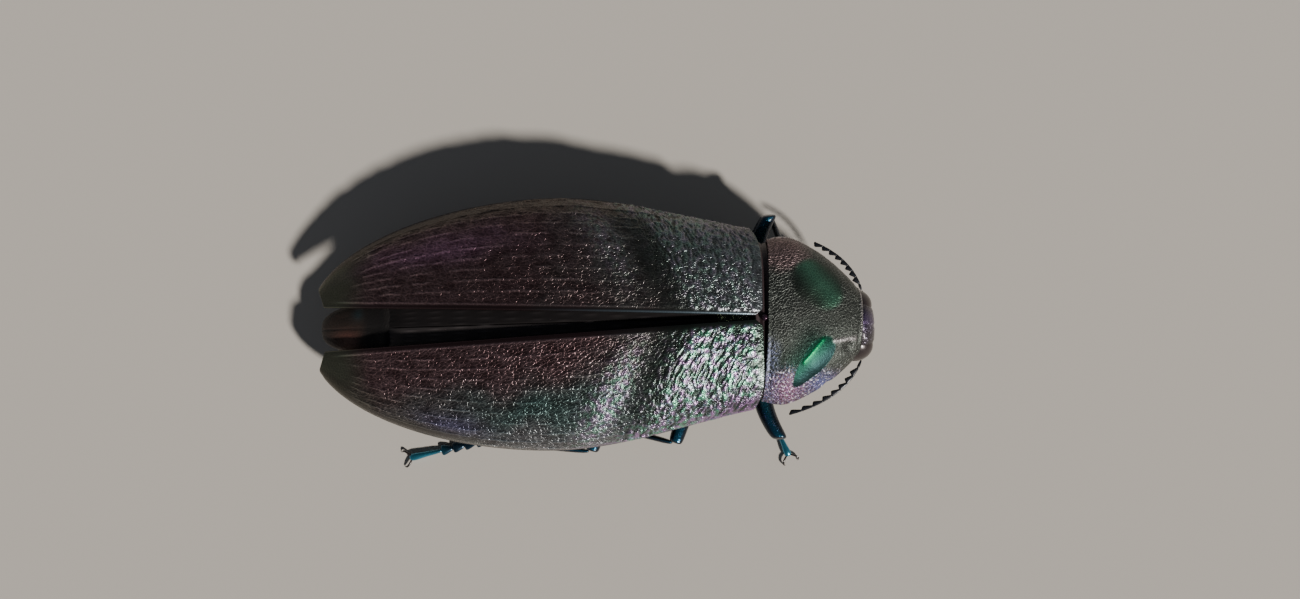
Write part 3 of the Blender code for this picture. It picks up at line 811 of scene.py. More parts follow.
    @staticmethod
    def wall(piece: Piece, thickness: float, up: bool = True, keep: float = 0.06) -> None:
        """Give a sheet its wall, and thin out the faces of the hidden inner side.

        Args:
            piece: Open sheet.
            thickness: Depth of the wall.
            up: Whether the sheet's outer side looks up.
            keep: Share of the inner faces that stays.
        """
        Bench.face_up(piece, up)
        outer = len(piece.data.polygons)
        Bench.modify(piece, "SOLIDIFY", thickness=thickness, offset=-1.0)
        chosen = np.zeros(len(piece.data.polygons), bool)
        chosen[outer:2 * outer] = True
        Bench.take(piece)
        bpy.ops.object.mode_set(mode="EDIT")
        bpy.ops.mesh.select_mode(type="FACE")
        bpy.ops.mesh.select_all(action="DESELECT")
        bpy.ops.object.mode_set(mode="OBJECT")
        piece.data.polygons.foreach_set("select", chosen)
        bpy.ops.object.mode_set(mode="EDIT")
        bpy.ops.mesh.select_less()
        bpy.ops.mesh.select_less()
        bpy.ops.mesh.decimate(ratio=keep)
        bpy.ops.mesh.select_mode(type="VERT")
        bpy.ops.object.mode_set(mode="OBJECT")

    @staticmethod
    def seal(sheet: Piece) -> None:
        """Merge the seam of a closed loop and fill both its ends."""
        Bench.take(sheet)
        bpy.ops.object.mode_set(mode="EDIT")
        bpy.ops.mesh.select_all(action="SELECT")
        bpy.ops.mesh.remove_doubles(threshold=0.001)
        bpy.ops.mesh.fill_holes(sides=0)
        bpy.ops.mesh.normals_make_consistent(inside=False)
        bpy.ops.object.mode_set(mode="OBJECT")

    @staticmethod
    def join(pieces: Sequence[Piece], name: str) -> Piece:
        """Join pieces into one mesh.

        Args:
            pieces: Pieces to join; the first takes in the rest.
            name: Name of the whole.

        Returns:
            The joined piece.
        """
        Bench.clear()
        for piece in pieces:
            piece.select_set(True)
        bpy.context.view_layer.objects.active = pieces[0]
        bpy.ops.object.join()
        return Bench.named(name)

    @staticmethod
    def copy(piece: Piece, name: str) -> Piece:
        """Copy a piece with a mesh of its own."""
        twin = piece.copy()
        twin.data = piece.data.copy()
        bpy.context.scene.collection.objects.link(twin)
        twin.name = name
        twin.data.name = name
        return twin

    @staticmethod
    def scrap(piece: Piece) -> None:
        """Remove a pattern piece once its copies are made."""
        bpy.data.objects.remove(piece, do_unlink=True)

    @staticmethod
    def stand(piece: Piece, start: Array, end: Array, up: Point = (0.0, 0.0, 1.0)) -> None:
        """Carry a limb drawn along +X to its place.

        Args:
            piece: Limb to place.
            start: Where its origin goes.
            end: Where it points.
            up: Way that its +Z side looks.
        """
        ahead = Vector(np.asarray(end) - np.asarray(start)).normalized()
        side = Vector(up).cross(ahead).normalized()
        turn = Matrix((ahead, side, ahead.cross(side))).transposed().to_4x4()
        piece.data.transform(Matrix.Translation(Vector(start)) @ turn)
        piece.data.update()

    def hand_in(self, piece: Piece, finish: ShellFinish, slot: str, *nodes: str) -> None:
        """Bring a finished piece into the model's frame, dress it and bind it.

        Args:
            piece: Finished piece, in millimetres.
            finish: Its look.
            slot: Material slot of the record; not used.
            *nodes: Solids that it stands for.
        """
        self.move(piece, self.plan.to_frame(self.points(piece)))
        piece.data.materials.clear()
        piece.data.materials.append(self.material(finish))
        self.take(piece)
        bpy.ops.object.shade_smooth()
        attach(piece, "root")
        if nodes:
            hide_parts(*nodes)
        LOG.info("%s: %d faces for %s", piece.name, len(piece.data.polygons), nodes or "no solid")


class Side(Enum):
    """Side of the beetle, as the sign of Y."""

    LEFT = 1
    RIGHT = -1

    @property
    def label(self) -> str:
        """Word that node names use."""
        return self.name.lower()


# ---------------------------------------------------------------- wing cases and wings

@dataclass(frozen=True)
class CaseLook:
    """Fold sizes, and strengths of the sculpture, colours, painted highlights and painted shade, of one
    wing case.
    """

    seed: int
    fold_pitch: float   # spacing of the front folds along the body
    fold_reach: float   # length of a fold across it
    fold_edge: float    # sharpness of a fold's crest
    swell: float        # height of the broad waves behind the folds
    painted_highlight: float        # brightness of the painted highlights on the fold crests
    colour: float       # how much of that is green, violet or blue
    between: float      # painted shade between the folds
    net: float          # strength of the fine net and of the painted highlight on its threads
    stria: float        # strength of the fine lines beside the rim and of their painted highlight
    crest: float        # brightness of the painted highlight on the ribs
    shade_band: float       # darkness of the painted shade in the hollow behind the folds


# The right case, on the lamp's side, gets stronger painted highlights and darker painted shade than the
# left.
CASE_LOOKS = {
    Side.LEFT: CaseLook(
        seed=11, fold_pitch=0.38, fold_reach=0.95, fold_edge=3.4, swell=0.06, painted_highlight=0.45,
        colour=0.4, between=0.0, net=0.6, stria=0.5, crest=0.8, shade_band=0.12),
    Side.RIGHT: CaseLook(
        seed=23, fold_pitch=0.46, fold_reach=1.35, fold_edge=4.6, swell=0.11, painted_highlight=0.95,
        colour=1.0, between=0.60, net=1.0, stria=1.0, crest=1.0, shade_band=0.4),
}


@dataclass
class WingCase:
    """One wing case: an arched shell with ribs, slanting folds and a fine net."""

    bench: Bench
    side: Side
    columns: int = 560
    rows: int = 160
    inner_share: float = 0.03
    probe: float = 0.002
    opening: float = 2.7
    apex_cut: float = 0.9
    half_seam: float = 0.15
    shoulder_slant: float = 0.25
    shoulder_round: float = 1.2
    notch: float = 0.7
    girth: float = 1.24
    slant: float = 0.5
    ribs: int = 10
    first_rib: float = 0.135
    rib_step: float = 0.081
    rib_width: float = 0.085
    rib_height: float = 0.12
    net_length: float = 0.95
    net_width: float = 0.40
    net_height: float = 0.055
    fold_start: float = 7.0
    fold_end: float = 11.0
    fold_height: float = 0.13
    bristle_place: float = 12.4
    bristle_spread: float = 1.9
    bristle_height: float = 0.045
    # start, full, fading and end of the band behind the folds where shade is painted
    shade_band: tuple[float, float, float, float] = (6.5, 7.5, 9.8, 11.4)
    swell_crest: float = 6.9
    swell_pitch: float = 7.4
    dust_size: float = 0.26
    dust_height: float = 0.030
    suture_place: float = 0.62
    suture_width: float = 0.08
    suture_height: float = 0.10
    seam_edge: float = 0.22
    seam_drop: float = 0.12
    rim_height: float = 0.07
    rim_groove: float = 0.05

    def build(self) -> None:
        """Model, dress and bind the wing case."""
        name = "wing_case_" + self.side.label
        sheet, along, inward = self.bench.sheet(name, self.columns, self.rows)
        turn = self._turns(inward)
        places = self._surface(along, turn)
        rise, marks = self._relief(-places[:, 0], 1.0 - np.clip(inward, 0.0, 1.0))
        places += self._outward(along, turn) * rise[:, None]
        self.bench.move(sheet, self._opened(places))
        for key, values in marks.items():
            self.bench.mark(sheet, key, values)
        self.bench.wall(sheet, self.bench.plan.case_wall, keep=self.inner_share)
        self.bench.hand_in(sheet, WING_CASE_FINISH, "wing_case", "elytron_" + self.side.label)

    def _turns(self, share: Array) -> Array:
        """Angles of points spaced evenly over the arched section.

        Args:
            share: Shares of the section from rim to seam.

        Returns:
            Angles from 0 at the rim to a right angle at the seam.
        """
        angles = np.linspace(0.0, math.pi / 2, 4000)
        width = self.bench.plan.case_full_width
        across = width * np.cos(angles).clip(0.0) ** (2.0 / self.bench.plan.arch_power)
        upward = 0.5 * width * np.sin(angles) ** (2.0 / self.bench.plan.arch_power)
        steps = np.hypot(np.diff(across), np.diff(upward))
        walked = np.concatenate(([0.0], np.cumsum(steps)))
        return np.interp(share, walked / walked[-1], angles)

    def _surface(self, along: Array, turn: Array) -> Array:
        """Smooth shell without relief, as the closed left case.

        Args:
            along: Shares from base to tail.
            turn: Angles from rim to seam.

        Returns:
            Points, with the case's base at x = 0.
        """
        plan = self.bench.plan
        across = np.cos(turn).clip(0.0) ** (2.0 / plan.arch_power)
        shoulder = self.shoulder_slant * across + self.shoulder_round * across**8
        dip = self.notch * mound(across, 0.05)
        cut = np.maximum(0.0, 1.0 - across / 0.9) ** 1.3
        tail = plan.case_length - self.apex_cut * cut
        back = blend(shoulder + dip, tail, 0.8 * along + 0.2 * np.sin(along * math.pi / 2))
        upward = np.sin(turn) ** (2.0 / plan.arch_power)
        rise = (plan.back_height(back) - plan.rim_height(back)) * upward
        seam = self.half_seam * (1.0 - across)
        return np.stack(
            (-back, plan.case_width(back) * across + seam, plan.rim_height(back) + rise), axis=1)

    def _outward(self, along: Array, turn: Array) -> Array:
        """Ways straight out of the smooth shell, from two short steps over it.

        Args:
            along: Shares from base to tail.
            turn: Angles from rim to seam.

        Returns:
            Unit ways, one to a row.
        """
        step = self.probe
        ahead = self._surface(np.minimum(along + step, 1.0), turn) - self._surface(
            np.maximum(along - step, 0.0), turn)
        around = self._surface(along, np.minimum(turn + step, math.pi / 2)) - self._surface(
            along, np.maximum(turn - step, 0.0))
        outward = np.cross(around, ahead)
        outward /= np.linalg.norm(outward, axis=1, keepdims=True) + 1e-12
        return outward * np.sign(outward[:, 2:3] + 1e-9)

    def _opened(self, places: Array) -> Array:
        """Put the shell on its side of the body and swing its tail outward.

        Args:
            places: Points of the closed case, drawn as a left one, one to a row.

        Returns:
            Points of this case in the beetle's axes.
        """
        angle = -self.side.value * math.radians(self.opening)
        x, y = places[:, 0], places[:, 1] * self.side.value
        ahead = x * math.cos(angle) - y * math.sin(angle) + self.bench.plan.case_base
        beside = x * math.sin(angle) + y * math.cos(angle)
        return np.stack((ahead, beside, places[:, 2]), axis=1)

    def _relief(self, back: Array, outward: Array) -> tuple[Array, dict[str, Array]]:
        """Height of the sculpture over the smooth shell, and the zones of colour, painted highlight and
        painted shade.

        Args:
            back: Distance back from the base.
            outward: Shares of the section from seam to rim.

        Returns:
            Heights, and one named set of shares for each zone.
        """
        look = CASE_LOOKS[self.side]
        wave, net, fold, dust = (Grain(look.seed + index) for index in range(4))
        width = self.girth * self.bench.plan.case_width(back)
        out = outward * width
        slanted = back - self.slant * out
        tail = self.bench.plan.case_length - back
        body = ramp(outward, 0.02, 0.06) * ramp(outward, 0.955, 0.90)
        ends = ramp(back, 0.0, 0.5) * ramp(tail, 0.0, 0.5)
        front = ramp(slanted, self.fold_end, self.fold_start) * ramp(back, 0.3, 1.6)
        apex = ramp(tail + 1.5 * wave.at(back / 2.0, out / 2.0), 2.5, 7.5)
        smooth_rim = ramp(outward, 0.72, 0.82) * ramp(back, 27.0, 36.0)
        rough = body * apex * (1.0 - smooth_rim)
        ribs = self._ribs(back, outward, width, wave) * rough
        warp = 0.50 * wave.at(back / 0.9, out / 0.9)
        mesh = net.crests(back / self.net_length + warp, out / self.net_width + warp, 3.0)
        mesh *= ramp(wave.at(back / 1.5 + 9.0, out / 1.1), -0.40, 0.10) * rough
        folds = fold.crests(slanted / look.fold_pitch + 0.7 * warp,
                            out / look.fold_reach + 0.7 * warp, look.fold_edge)
        folds *= ramp(fold.at(back / 0.45, out / 0.9 + 31.0), -0.55, 0.10) * front * body
        bristle = fold.crests(slanted / 0.38 + warp, out / 0.80 + 7.0, 3.4) * body
        bristle *= mound(slanted - self.bristle_place, self.bristle_spread) * mound(outward - 0.50, 0.28)
        # band behind the front folds where shade is painted; it also lowers the folds there
        shade_band = self._valley(back, outward, slanted)
        swell = self._swell(back, outward, slanted)
        suture = mound(out - self.suture_place, self.suture_width) * ramp(back, 8.0, 15.0)
        suture *= ramp(tail, 1.5, 5.0)
        seam = np.clip(1.0 - out / self.seam_edge, 0.0, 1.0) ** 2
        grit = self.dust_height * dust.at(back / self.dust_size, out / self.dust_size)
        height = self.rib_height * ribs + self.net_height * mesh * (1.0 - 0.6 * front)
        height += self.fold_height * folds * (1.0 - 0.3 * shade_band) + self.bristle_height * bristle
        height += grit * body * blend(0.4, 1.0, front)
        height += self.suture_height * suture + swell - self.seam_drop * seam
        height += self.rim_height * mound(outward - 0.985, 0.006) - self.rim_groove * mound(
            outward - 0.955, 0.012)
        corner = ramp(outward, 0.60, 0.80) * ramp(back, 8.0, 2.0)
        hue = dust.at(back / 0.7 + 40.0, out / 0.7) - 0.5 * corner
        # painted highlights on the fold crests, dimmed in the band of painted shade; some are tinted
        # green, violet or blue
        painted_highlight = np.maximum(folds, 0.65 * bristle) * look.painted_highlight * (1.0 - 0.8 * shade_band)
        bright = painted_highlight * look.colour
        # painted shade between the folds
        between = look.between * front * body * ramp(folds, 0.35, 0.05)
        marks = self._zones(back, outward, out, tail, slanted)
        marks |= {
            "along": back / SPAN,
            "out": out / SPAN,
            "net": rough * (1.0 - 0.9 * front) * look.net,
            "grit": body * np.maximum(front, 0.35),
            "blue_glint": bright * ramp(np.abs(hue + 0.02), 0.06, 0.0),
            "stria": ramp(outward, 0.80, 0.88) * ramp(outward, 0.985, 0.97) * look.stria,
            # painted highlight on the ribs, the suture and the net's crests
            "crest": np.maximum(np.maximum(ribs, 0.3 * mesh) * (1.0 - front), suture) * look.crest,
            "sheen": painted_highlight * (1.0 - 0.6 * corner),
            "green_glint": bright * ramp(hue, 0.06, 0.20),
            "pink_glint": bright * ramp(hue, -0.10, -0.22),
            "painted_shade_and_dark_spot": np.maximum(shade_band * look.shade_band, between),
        }
        return height * ends, marks

    def _valley(self, back: Array, outward: Array, slanted: Array) -> Array:
        """Slanting hollow behind the front folds, where shade is painted: 1 in it, 0 outside."""
        start, full, fading, end = self.shade_band
        hollow = ramp(slanted, start, full) * ramp(slanted, end, fading)
        return hollow * ramp(outward, 0.85, 0.65) * ramp(back, 3.0, 7.0)

    def _swell(self, back: Array, outward: Array, slanted: Array) -> Array:
        """Height of the broad slanting waves of the shell in front of and behind the hollow."""
        wave = np.cos((slanted - self.swell_crest) * 2.0 * math.pi / self.swell_pitch)
        wave *= ramp(slanted, 17.0, 13.0)
        wave *= CASE_LOOKS[self.side].swell
        return wave * (ramp(back, 1.0, 4.0) * ramp(outward, 1.0, 0.8) * ramp(outward, 0.0, 0.2))

    def _ribs(self, back: Array, outward: Array, width: Array, wave: Grain) -> Array:
        """Crooked, broken ribs that run from the front folds to the tail.

        Args:
            back: Distance back from the base.
            outward: Shares of the section from seam to rim.
            width: Length of the section.
            wave: Noise that bends the ribs.

        Returns:
            1 on a rib, falling to 0 between them.
        """
        ribs = np.zeros_like(back)
        shake = 0.14 * wave.at(back / 1.6, outward * 9.0) + 0.09 * wave.at(back / 0.6, outward * 20.0)
        for index in range(self.ribs):
            near = (outward - self.first_rib - self.rib_step * index) * width + shake
            fade = ramp(back, 14.0 - 0.9 * index, 19.0 - 0.9 * index)
            level = wave.at(back / 1.9, np.full_like(back, index * 3.3))
            broken = blend(0.15, 1.0, ramp(level, -0.20, 0.10))
            ribs = np.maximum(ribs, mound(near, self.rib_width) * fade * broken)
        return ribs

    def _zones(self, back: Array, outward: Array, out: Array, tail: Array,
               slanted: Array) -> dict[str, Array]:
        """Zones of colour over the wing case, and a painted highlight along the left case's seam.

        Args:
            back: Distance back from the base.
            outward: Shares of the section from seam to rim.
            out: Distance out from the seam.
            tail: Distance to the tail end.
            slanted: Distance back, measured along the slanting folds.

        Returns:
            One named set of shares for each zone.
        """
        drift = Grain(5).at(back / 5.0, out / 4.0)
        rim = ramp(outward + 0.10 * drift, 0.74, 0.88) * ramp(back, 20.0, 34.0)
        apex = ramp(tail + 2.0 * drift, 6.5, 2.5)
        zones = {
            "base": ramp(slanted + 2.0 * drift, 12.0, 3.0),
            "maroon": 0.85 * ramp(back + 6.0 * drift, 14.0, 26.0),
            "border": np.maximum(0.4 * rim, apex),
            "smooth": np.maximum(0.6 * np.maximum(ramp(out, 0.5, 0.3), ramp(outward, 0.95, 0.99)),
                                 0.35 * ramp(slanted, 13.0, 9.0)),
        }
        if self.side is Side.LEFT:
            zones["silver"] = 0.9 * ramp(back, 11.0, 0.5) * ramp(outward, 1.2, 0.2)
            zones["violet"] = 0.9 * mound(outward - 0.50 + 0.08 * drift, 0.11) * mound(back - 34.0, 7.5)
            zones["copper"] = 0.9 * ramp(outward, 0.64, 0.80) * ramp(back, 6.0, 12.0)
            # painted highlight: a pale line along the seam, strongest near the base
            zones["margin_highlight"] = mound(out - 0.16, 0.10) * ramp(back, 26.0, 6.0) * ramp(back, 0.5, 2.0)
            return zones
        zones["maroon"] = ramp(back + 5.0 * drift, 13.0, 20.0) * ramp(
            outward + 0.25 * drift - 0.012 * (back - 20.0), 0.50, 0.20)
        zones["silver"] = blend(0.05, 0.55, ramp(outward, 0.25, 0.8)) * ramp(back, 48.0, 20.0)
        zones["copper"] = 0.5 * ramp(outward, 0.40, 0.60) * ramp(back, 31.0, 36.0)
        zones["teal"] = 0.75 * mound(outward - 0.50 + 0.2 * drift, 0.16) * mound(back - 24.0, 8.0)
        zones["blue"] = 0.45 * mound(outward - 0.68 + 0.08 * drift, 0.09) * mound(back - 33.0, 3.5)
        zones["rose"] = 0.8 * ramp(outward + 0.1 * drift, 0.80, 0.92) * ramp(back, 9.0, 4.0)
        zones["rose"] += 0.5 * mound(outward - 0.95, 0.05) * mound(back - 13.0, 5.0)
        return zones


@dataclass
class FoldedWing:
    """One flying wing, folded flat on the abdomen and dark between the wing cases."""

    bench: Bench
    side: Side
    columns: int = 150
    rows: int = 36
    front: float = 13.0
    thickness: float = 0.15
    overhang: float = 0.8
    reach: float = 0.55
    veins: float = 9.0
    vein_height: float = 0.05
    pleat_depth: float = 0.10
    edge_drop: float = 0.12
    end_drop: float = 0.55

    def build(self) -> None:
        """Model, dress and bind the wing."""
        plan = self.bench.plan
        name = "folded_wing_" + self.side.label
        sheet, along, share = self.bench.sheet(name, self.columns, self.rows)
        end = plan.wing_end - self.overhang
        x = blend(self.front, end - 0.5 * share * self.side.value, along)
        crown = plan.wing_crown(x)
        arch = np.maximum(0.0, 1.0 - (self.reach * share) ** plan.arch_power) ** (1.0 / plan.arch_power)
        drop = (crown - plan.flank_height(x)) * (1.0 - arch)
        reach = self.reach * plan.flank_width(x) * share
        slant = share * self.veins + x / 11.0
        vein = mound(np.abs(slant - np.round(slant)), 0.06)
        pleat = self.pleat_depth * np.sin(x / 2.6 + share * 5.0) * ramp(share, 0.05, 0.4)
        edge = ramp(x, end, end + 1.0) * ramp(x, self.front, self.front - 1.0)
        rise = (self.vein_height * vein + pleat - self.pleat_depth) * edge
        rise -= self.edge_drop * (1.0 - edge)
        rise -= self.end_drop * ramp(x, end + 3.0, end + 0.3)
        places = np.stack((x, self.side.value * (reach + 0.02), crown - drop + rise), axis=1)
        self.bench.move(sheet, places)
        self.bench.mark(sheet, "vein", vein)
        # the right wing gets the lighter tint: painted light that offsets the right wing case's shadow
        # on it
        self.bench.mark(sheet, "under", np.full_like(x, 0.0 if self.side is Side.LEFT else 1.0))
        self.bench.wall(sheet, self.thickness)
        self.bench.hand_in(sheet, FOLDED_WING_FINISH, "folded_wing", "hind_wing_" + self.side.label)


@dataclass
class Scutellum:
    """Small bead between the bases of the wing cases."""

    bench: Bench
    centre: Point = (17.8, 0.0, 13.2)
    radius: float = 0.36

    def build(self) -> None:
        """Model, dress and bind the bead."""
        bead = self.bench.ball("scutellum_bead", 32, 20)
        places = self.bench.points(bead)
        places[:, 2] *= 1.0 - 0.15 * mound(np.hypot(places[:, 0], places[:, 1]), 0.3)
        self.bench.move(bead, places * self.radius + np.array(self.centre))
        self.bench.hand_in(bead, SCUTELLUM_FINISH, "scutellum_shell", "scutellum")


@dataclass
class Collar:
    """Dark neck skin that fills the seam between the wing cases and the pronotum."""

    bench: Bench
    columns: int = 16
    rows: int = 240
    front: float = 18.5
    rear: float = 16.9
    half_width: float = 8.2
    top: float = 13.05
    edge: float = 8.9
    bottom: float = 3.7
    arch_power: float = 2.2
    pleat_depth: float = 0.08

    def build(self) -> None:
        """Model, dress and bind the collar."""
        sheet, share, around = self.bench.sheet("neck_collar", self.columns, self.rows)
        above, across, up = hoop(
            around * 2.0 * math.pi, self.arch_power, self.bench.plan.belly_power)
        pleat = self.pleat_depth * np.cos(share * 4.0 * math.pi)
        rise = np.where(above, self.top - self.edge, self.edge - self.bottom) + pleat
        places = np.stack((blend(self.front, self.rear, share), (self.half_width + pleat) * across,
                           self.edge + rise * up), axis=1)
        self.bench.move(sheet, self.bench.plan.lean(places))
        self.bench.seal(sheet)
        self.bench.hand_in(sheet, COLLAR_FINISH, "abdomen_back")


# ---------------------------------------------------------------- trunk and abdomen

@dataclass
class Trunk:
    """Middle trunk, with its breast plates, seen from below and from the sides."""

    bench: Bench
    columns: int = 110
    rows: int = 220
    front: float = 17.6
    rear: float = 0.2
    groove_depth: float = 0.16

    def build(self) -> None:
        """Model, dress and bind the trunk."""
        plan = self.bench.plan
        sheet, along, around = self.bench.sheet("trunk_shell", self.columns, self.rows)
        x = blend(self.front, self.rear, along)
        above, across, upward = hoop(around * 2.0 * math.pi, plan.arch_power, plan.belly_power)
        edge = plan.flank_height(x)
        crown = np.maximum(plan.wing_crown(x) - 0.5 - plan.seam, edge + 0.6)
        rise = np.where(above, crown - edge, edge - plan.keel_height(x))
        width = plan.flank_width(x)
        places = np.stack((x, width * across, edge + rise * upward), axis=1)
        grooves = self._grooves(x, width * across) * ramp(-upward, 0.02, 0.20)
        places[:, 2] += self.groove_depth * grooves
        self.bench.move(sheet, places)
        self.bench.mark(sheet, "groove", grooves)
        self.bench.mark(sheet, "copper", mound(across, 0.35) * (~above))
        self.bench.seal(sheet)
        self.bench.hand_in(sheet, UNDERSIDE_FINISH, "underside_shell", "pterothorax")

    @staticmethod
    def _grooves(x: Array, y: Array) -> Array:
        """Seams between the breast plates.

        Args:
            x: Places along the body.
            y: Places across it.

        Returns:
            1 in a groove, 0 on a plate.
        """
        wide = np.abs(y)
        middle = mound(y, 0.13) * ramp(x, 11.0, 9.5)
        cross = mound(x - 13.9 + 0.10 * wide, 0.15)
        rear = mound(x - 4.4 - 0.25 * wide, 0.15) * ramp(wide, 0.4, 1.2)
        side = mound(wide - 7.3 + 0.05 * x, 0.14) * ramp(x, 13.8, 13.0)
        return np.clip(middle + cross + rear + side, 0.0, 1.0)


@dataclass
class Abdomen:
    """Belly plates, the back under the wings, and the bare tail plate."""

    bench: Bench
    start: float = -0.05
    plate_shares: tuple[float, ...] = (0.27, 0.21, 0.18, 0.16, 0.18)
    step: float = 0.2
    wall: float = 0.45
    inset: float = 0.55
    tail_wall: float = 0.2
    tail_cover: float = 1.6
    nose_width: float = 1.9
    nose_length: float = 2.1
    nose_power: float = 2.4

    def build(self) -> None:
        """Model, dress and bind every plate of the abdomen."""
        plan = self.bench.plan
        length = self.start - plan.abdomen_tip
        start = self.start
        for number, share in enumerate(self.plate_shares, start=1):
            end = max(start - share * length + plan.seam, plan.abdomen_tip)
            self._plate(number, start, end)
            start = end - plan.seam
        self._tail()
        self._lining()
        self._back()

    def _tail_width(self, x: Array) -> Array:
        """Half-width of the end of the abdomen: a wedge with a rounded nose."""
        plan = self.bench.plan
        ahead = np.maximum(0.0, x - plan.abdomen_tip)
        left = 0.97 - np.minimum(0.97, ahead / self.nose_length)
        nose = self.nose_width * (1.0 - left**self.nose_power) ** (1.0 / self.nose_power)
        full = float(plan.flank_width(np.array(plan.wing_end)))
        return nose + (full - self.nose_width) * (ahead / (plan.wing_end - plan.abdomen_tip)) ** 2

    def _plate(self, number: int, start: float, end: float) -> None:
        """Make one belly plate.

        Args:
            number: Its number from the front.
            start: Front edge.
            end: Rear edge.
        """
        plan = self.bench.plan
        last = number == len(self.plate_shares)
        sheet, share, around = self.bench.sheet(f"belly_plate_{number}", 44, 120)
        x = blend(start, end, np.sin(share * math.pi / 2) if last else share)
        turn = around * math.pi
        edge = plan.flank_height(x) - 0.5 * plan.seam
        width = self._tail_width(x) if last else plan.flank_width(x)
        keel = plan.keel_height(x) - self.step * share
        across = bulge(np.cos(turn), plan.belly_power)
        drop = (edge - keel) * bulge(np.sin(turn), plan.belly_power)
        bow = 0.25 * mound(across, 0.45) * share * (0.0 if last else 1.0)
        lip = mound(share - 0.94, 0.04)
        rise = 0.05 * lip - 0.10 * mound(share - 0.04, 0.05)
        rise += 0.03 * Grain(40 + number).at(x / 0.5, across * width / 0.5) * ramp(share, 0.95, 0.9)
        places = np.stack((x - bow, width * across, edge - drop - rise * np.sin(turn)), axis=1)
        self.bench.move(sheet, places)
        self.bench.mark(sheet, "copper", ramp(share, 0.6, 1.0) + 0.5 * mound(across, 0.3))
        self.bench.mark(sheet, "groove", mound(share - 0.02, 0.05))
        self.bench.mark(sheet, "smooth", lip)
        self.bench.wall(sheet, self.wall, up=False)
        self.bench.hand_in(sheet, UNDERSIDE_FINISH, "underside_shell", f"ventrite_{number}")

    def _lining(self) -> None:
        """Make the dark skin that closes the seams between the plates."""
        plan = self.bench.plan
        sheet, along, around = self.bench.sheet("belly_lining", 80, 96)
        x = blend(0.9, plan.wing_end - 0.5, along)
        above, across, upward = hoop(around * 2.0 * math.pi, plan.arch_power, plan.belly_power)
        edge = plan.flank_height(x)
        rise = np.where(above, 0.15, edge - plan.keel_height(x) - self.inset)
        width = plan.flank_width(x) - self.inset
        self.bench.move(sheet, np.stack((x, width * across, edge + rise * upward), axis=1))
        self.bench.seal(sheet)
        self.bench.hand_in(sheet, COLLAR_FINISH, "underside_shell")

    def _back(self) -> None:
        """Dress the solid of the back, which stays as it is under the folded wings."""
        for slot in bpy.data.objects["abdomen_dorsum"].material_slots:
            slot.material = self.bench.material(TAIL_FINISH)

    def _tail(self) -> None:
        """Make the tail plate, with its faint middle line and blue-green shoulder."""
        plan = self.bench.plan
        sheet, share, around = self.bench.sheet("tail_plate_shell", 90, 110)
        front = plan.wing_end + self.tail_cover
        x = blend(front, plan.abdomen_tip, np.sin(share * math.pi / 2))
        turn = around * math.pi
        edge = plan.flank_height(x) + 0.5 * plan.seam
        crown = np.maximum(plan.wing_crown(x), plan.flank_height(x) + 0.25)
        round_off = np.clip(1.0 - (x - plan.abdomen_tip) / 1.6, 0.0, 1.0) ** 2
        crown = blend(edge, crown, 0.15 + 0.85 * np.sqrt(1.0 - round_off))
        y = self._tail_width(x) * bulge(np.cos(turn), plan.arch_power)
        up = bulge(np.sin(turn), plan.arch_power)
        line = mound(y, 0.10) * ramp(share, 0.05, 0.2)
        dents = mound(np.abs(y) - 1.3, 0.5) * mound(x + 27.2, 0.9)
        rise = -0.08 * line - 0.10 * dents + 0.02 * Grain(61).at(x / 0.35, y / 0.35)
        rise *= ramp(share, 1.0, 0.97)
        rise -= 0.30 * ramp(x, plan.wing_end - 3.5, plan.wing_end - 0.5)
        rise -= 0.45 * ramp(x, plan.wing_end - 0.2, front)
        self.bench.move(sheet, np.stack((x, y, edge + (crown - edge) * up + rise * up), axis=1))
        # dark middle line, and painted shade over the plate's front, under and just behind the wing ends
        self.bench.mark(sheet, "groove", np.maximum(0.5 * line, ramp(x, -25.6, -24.0)))
        # reddish tone, heaviest on the shaded right side: partly the plate's own colour, partly painted
        # light that lifts that shade
        self.bench.mark(sheet, "copper", mound(x + 26.6, 1.5) * ramp(y, 0.6, -1.2))
        self.bench.mark(sheet, "blue", mound(x + 25.3, 0.8) * mound(y - 1.6, 0.7))
        self.bench.wall(sheet, self.tail_wall)
        self.bench.hand_in(sheet, TAIL_FINISH, "abdomen_back", "tail_plate")


# ---------------------------------------------------------------- fore body

@dataclass(frozen=True)
class Oval:
    """Smooth oval mark with a low dome; its turn from +X is in degrees."""

    centre: tuple[float, float]
    turn: float
    length: float
    width: float
    flare: float
    blur: float

    def over(self, x: Array, y: Array) -> tuple[Array, Array]:
        """Lay the oval over a shell.

        Args:
            x: Places along the body.
            y: Places across it.

        Returns:
            The oval's shares, and its dome.
        """
        angle = math.radians(self.turn)
        right, up = x - self.centre[0], y - self.centre[1]
        ahead = right * math.cos(angle) + up * math.sin(angle)
        beside = up * math.cos(angle) - right * math.sin(angle)
        spread = 1.0 + self.flare * ahead / self.length
        reach = (ahead / self.length) ** 2 + (beside / self.width / spread) ** 2
        shares = ramp(reach, 1.0 + self.blur, 1.0 - self.blur)
        return shares, np.sqrt(np.clip(1.0 - reach, 0.0, 1.0))


@dataclass(frozen=True)
class Stroke:
    """Straight crest, band or hollow from one place to another."""

    start: tuple[float, float]
    end: tuple[float, float]
    width: float

    def over(self, x: Array, y: Array) -> Array:
        """Lay the stroke over a shell: 1 along its middle, falling to 0 beside it."""
        way = np.array(self.end) - np.array(self.start)
        right, up = x - self.start[0], y - self.start[1]
        share = np.clip((right * way[0] + up * way[1]) / way.dot(way), 0.0, 1.0)
        return mound(np.hypot(right - share * way[0], up - share * way[1]), self.width)


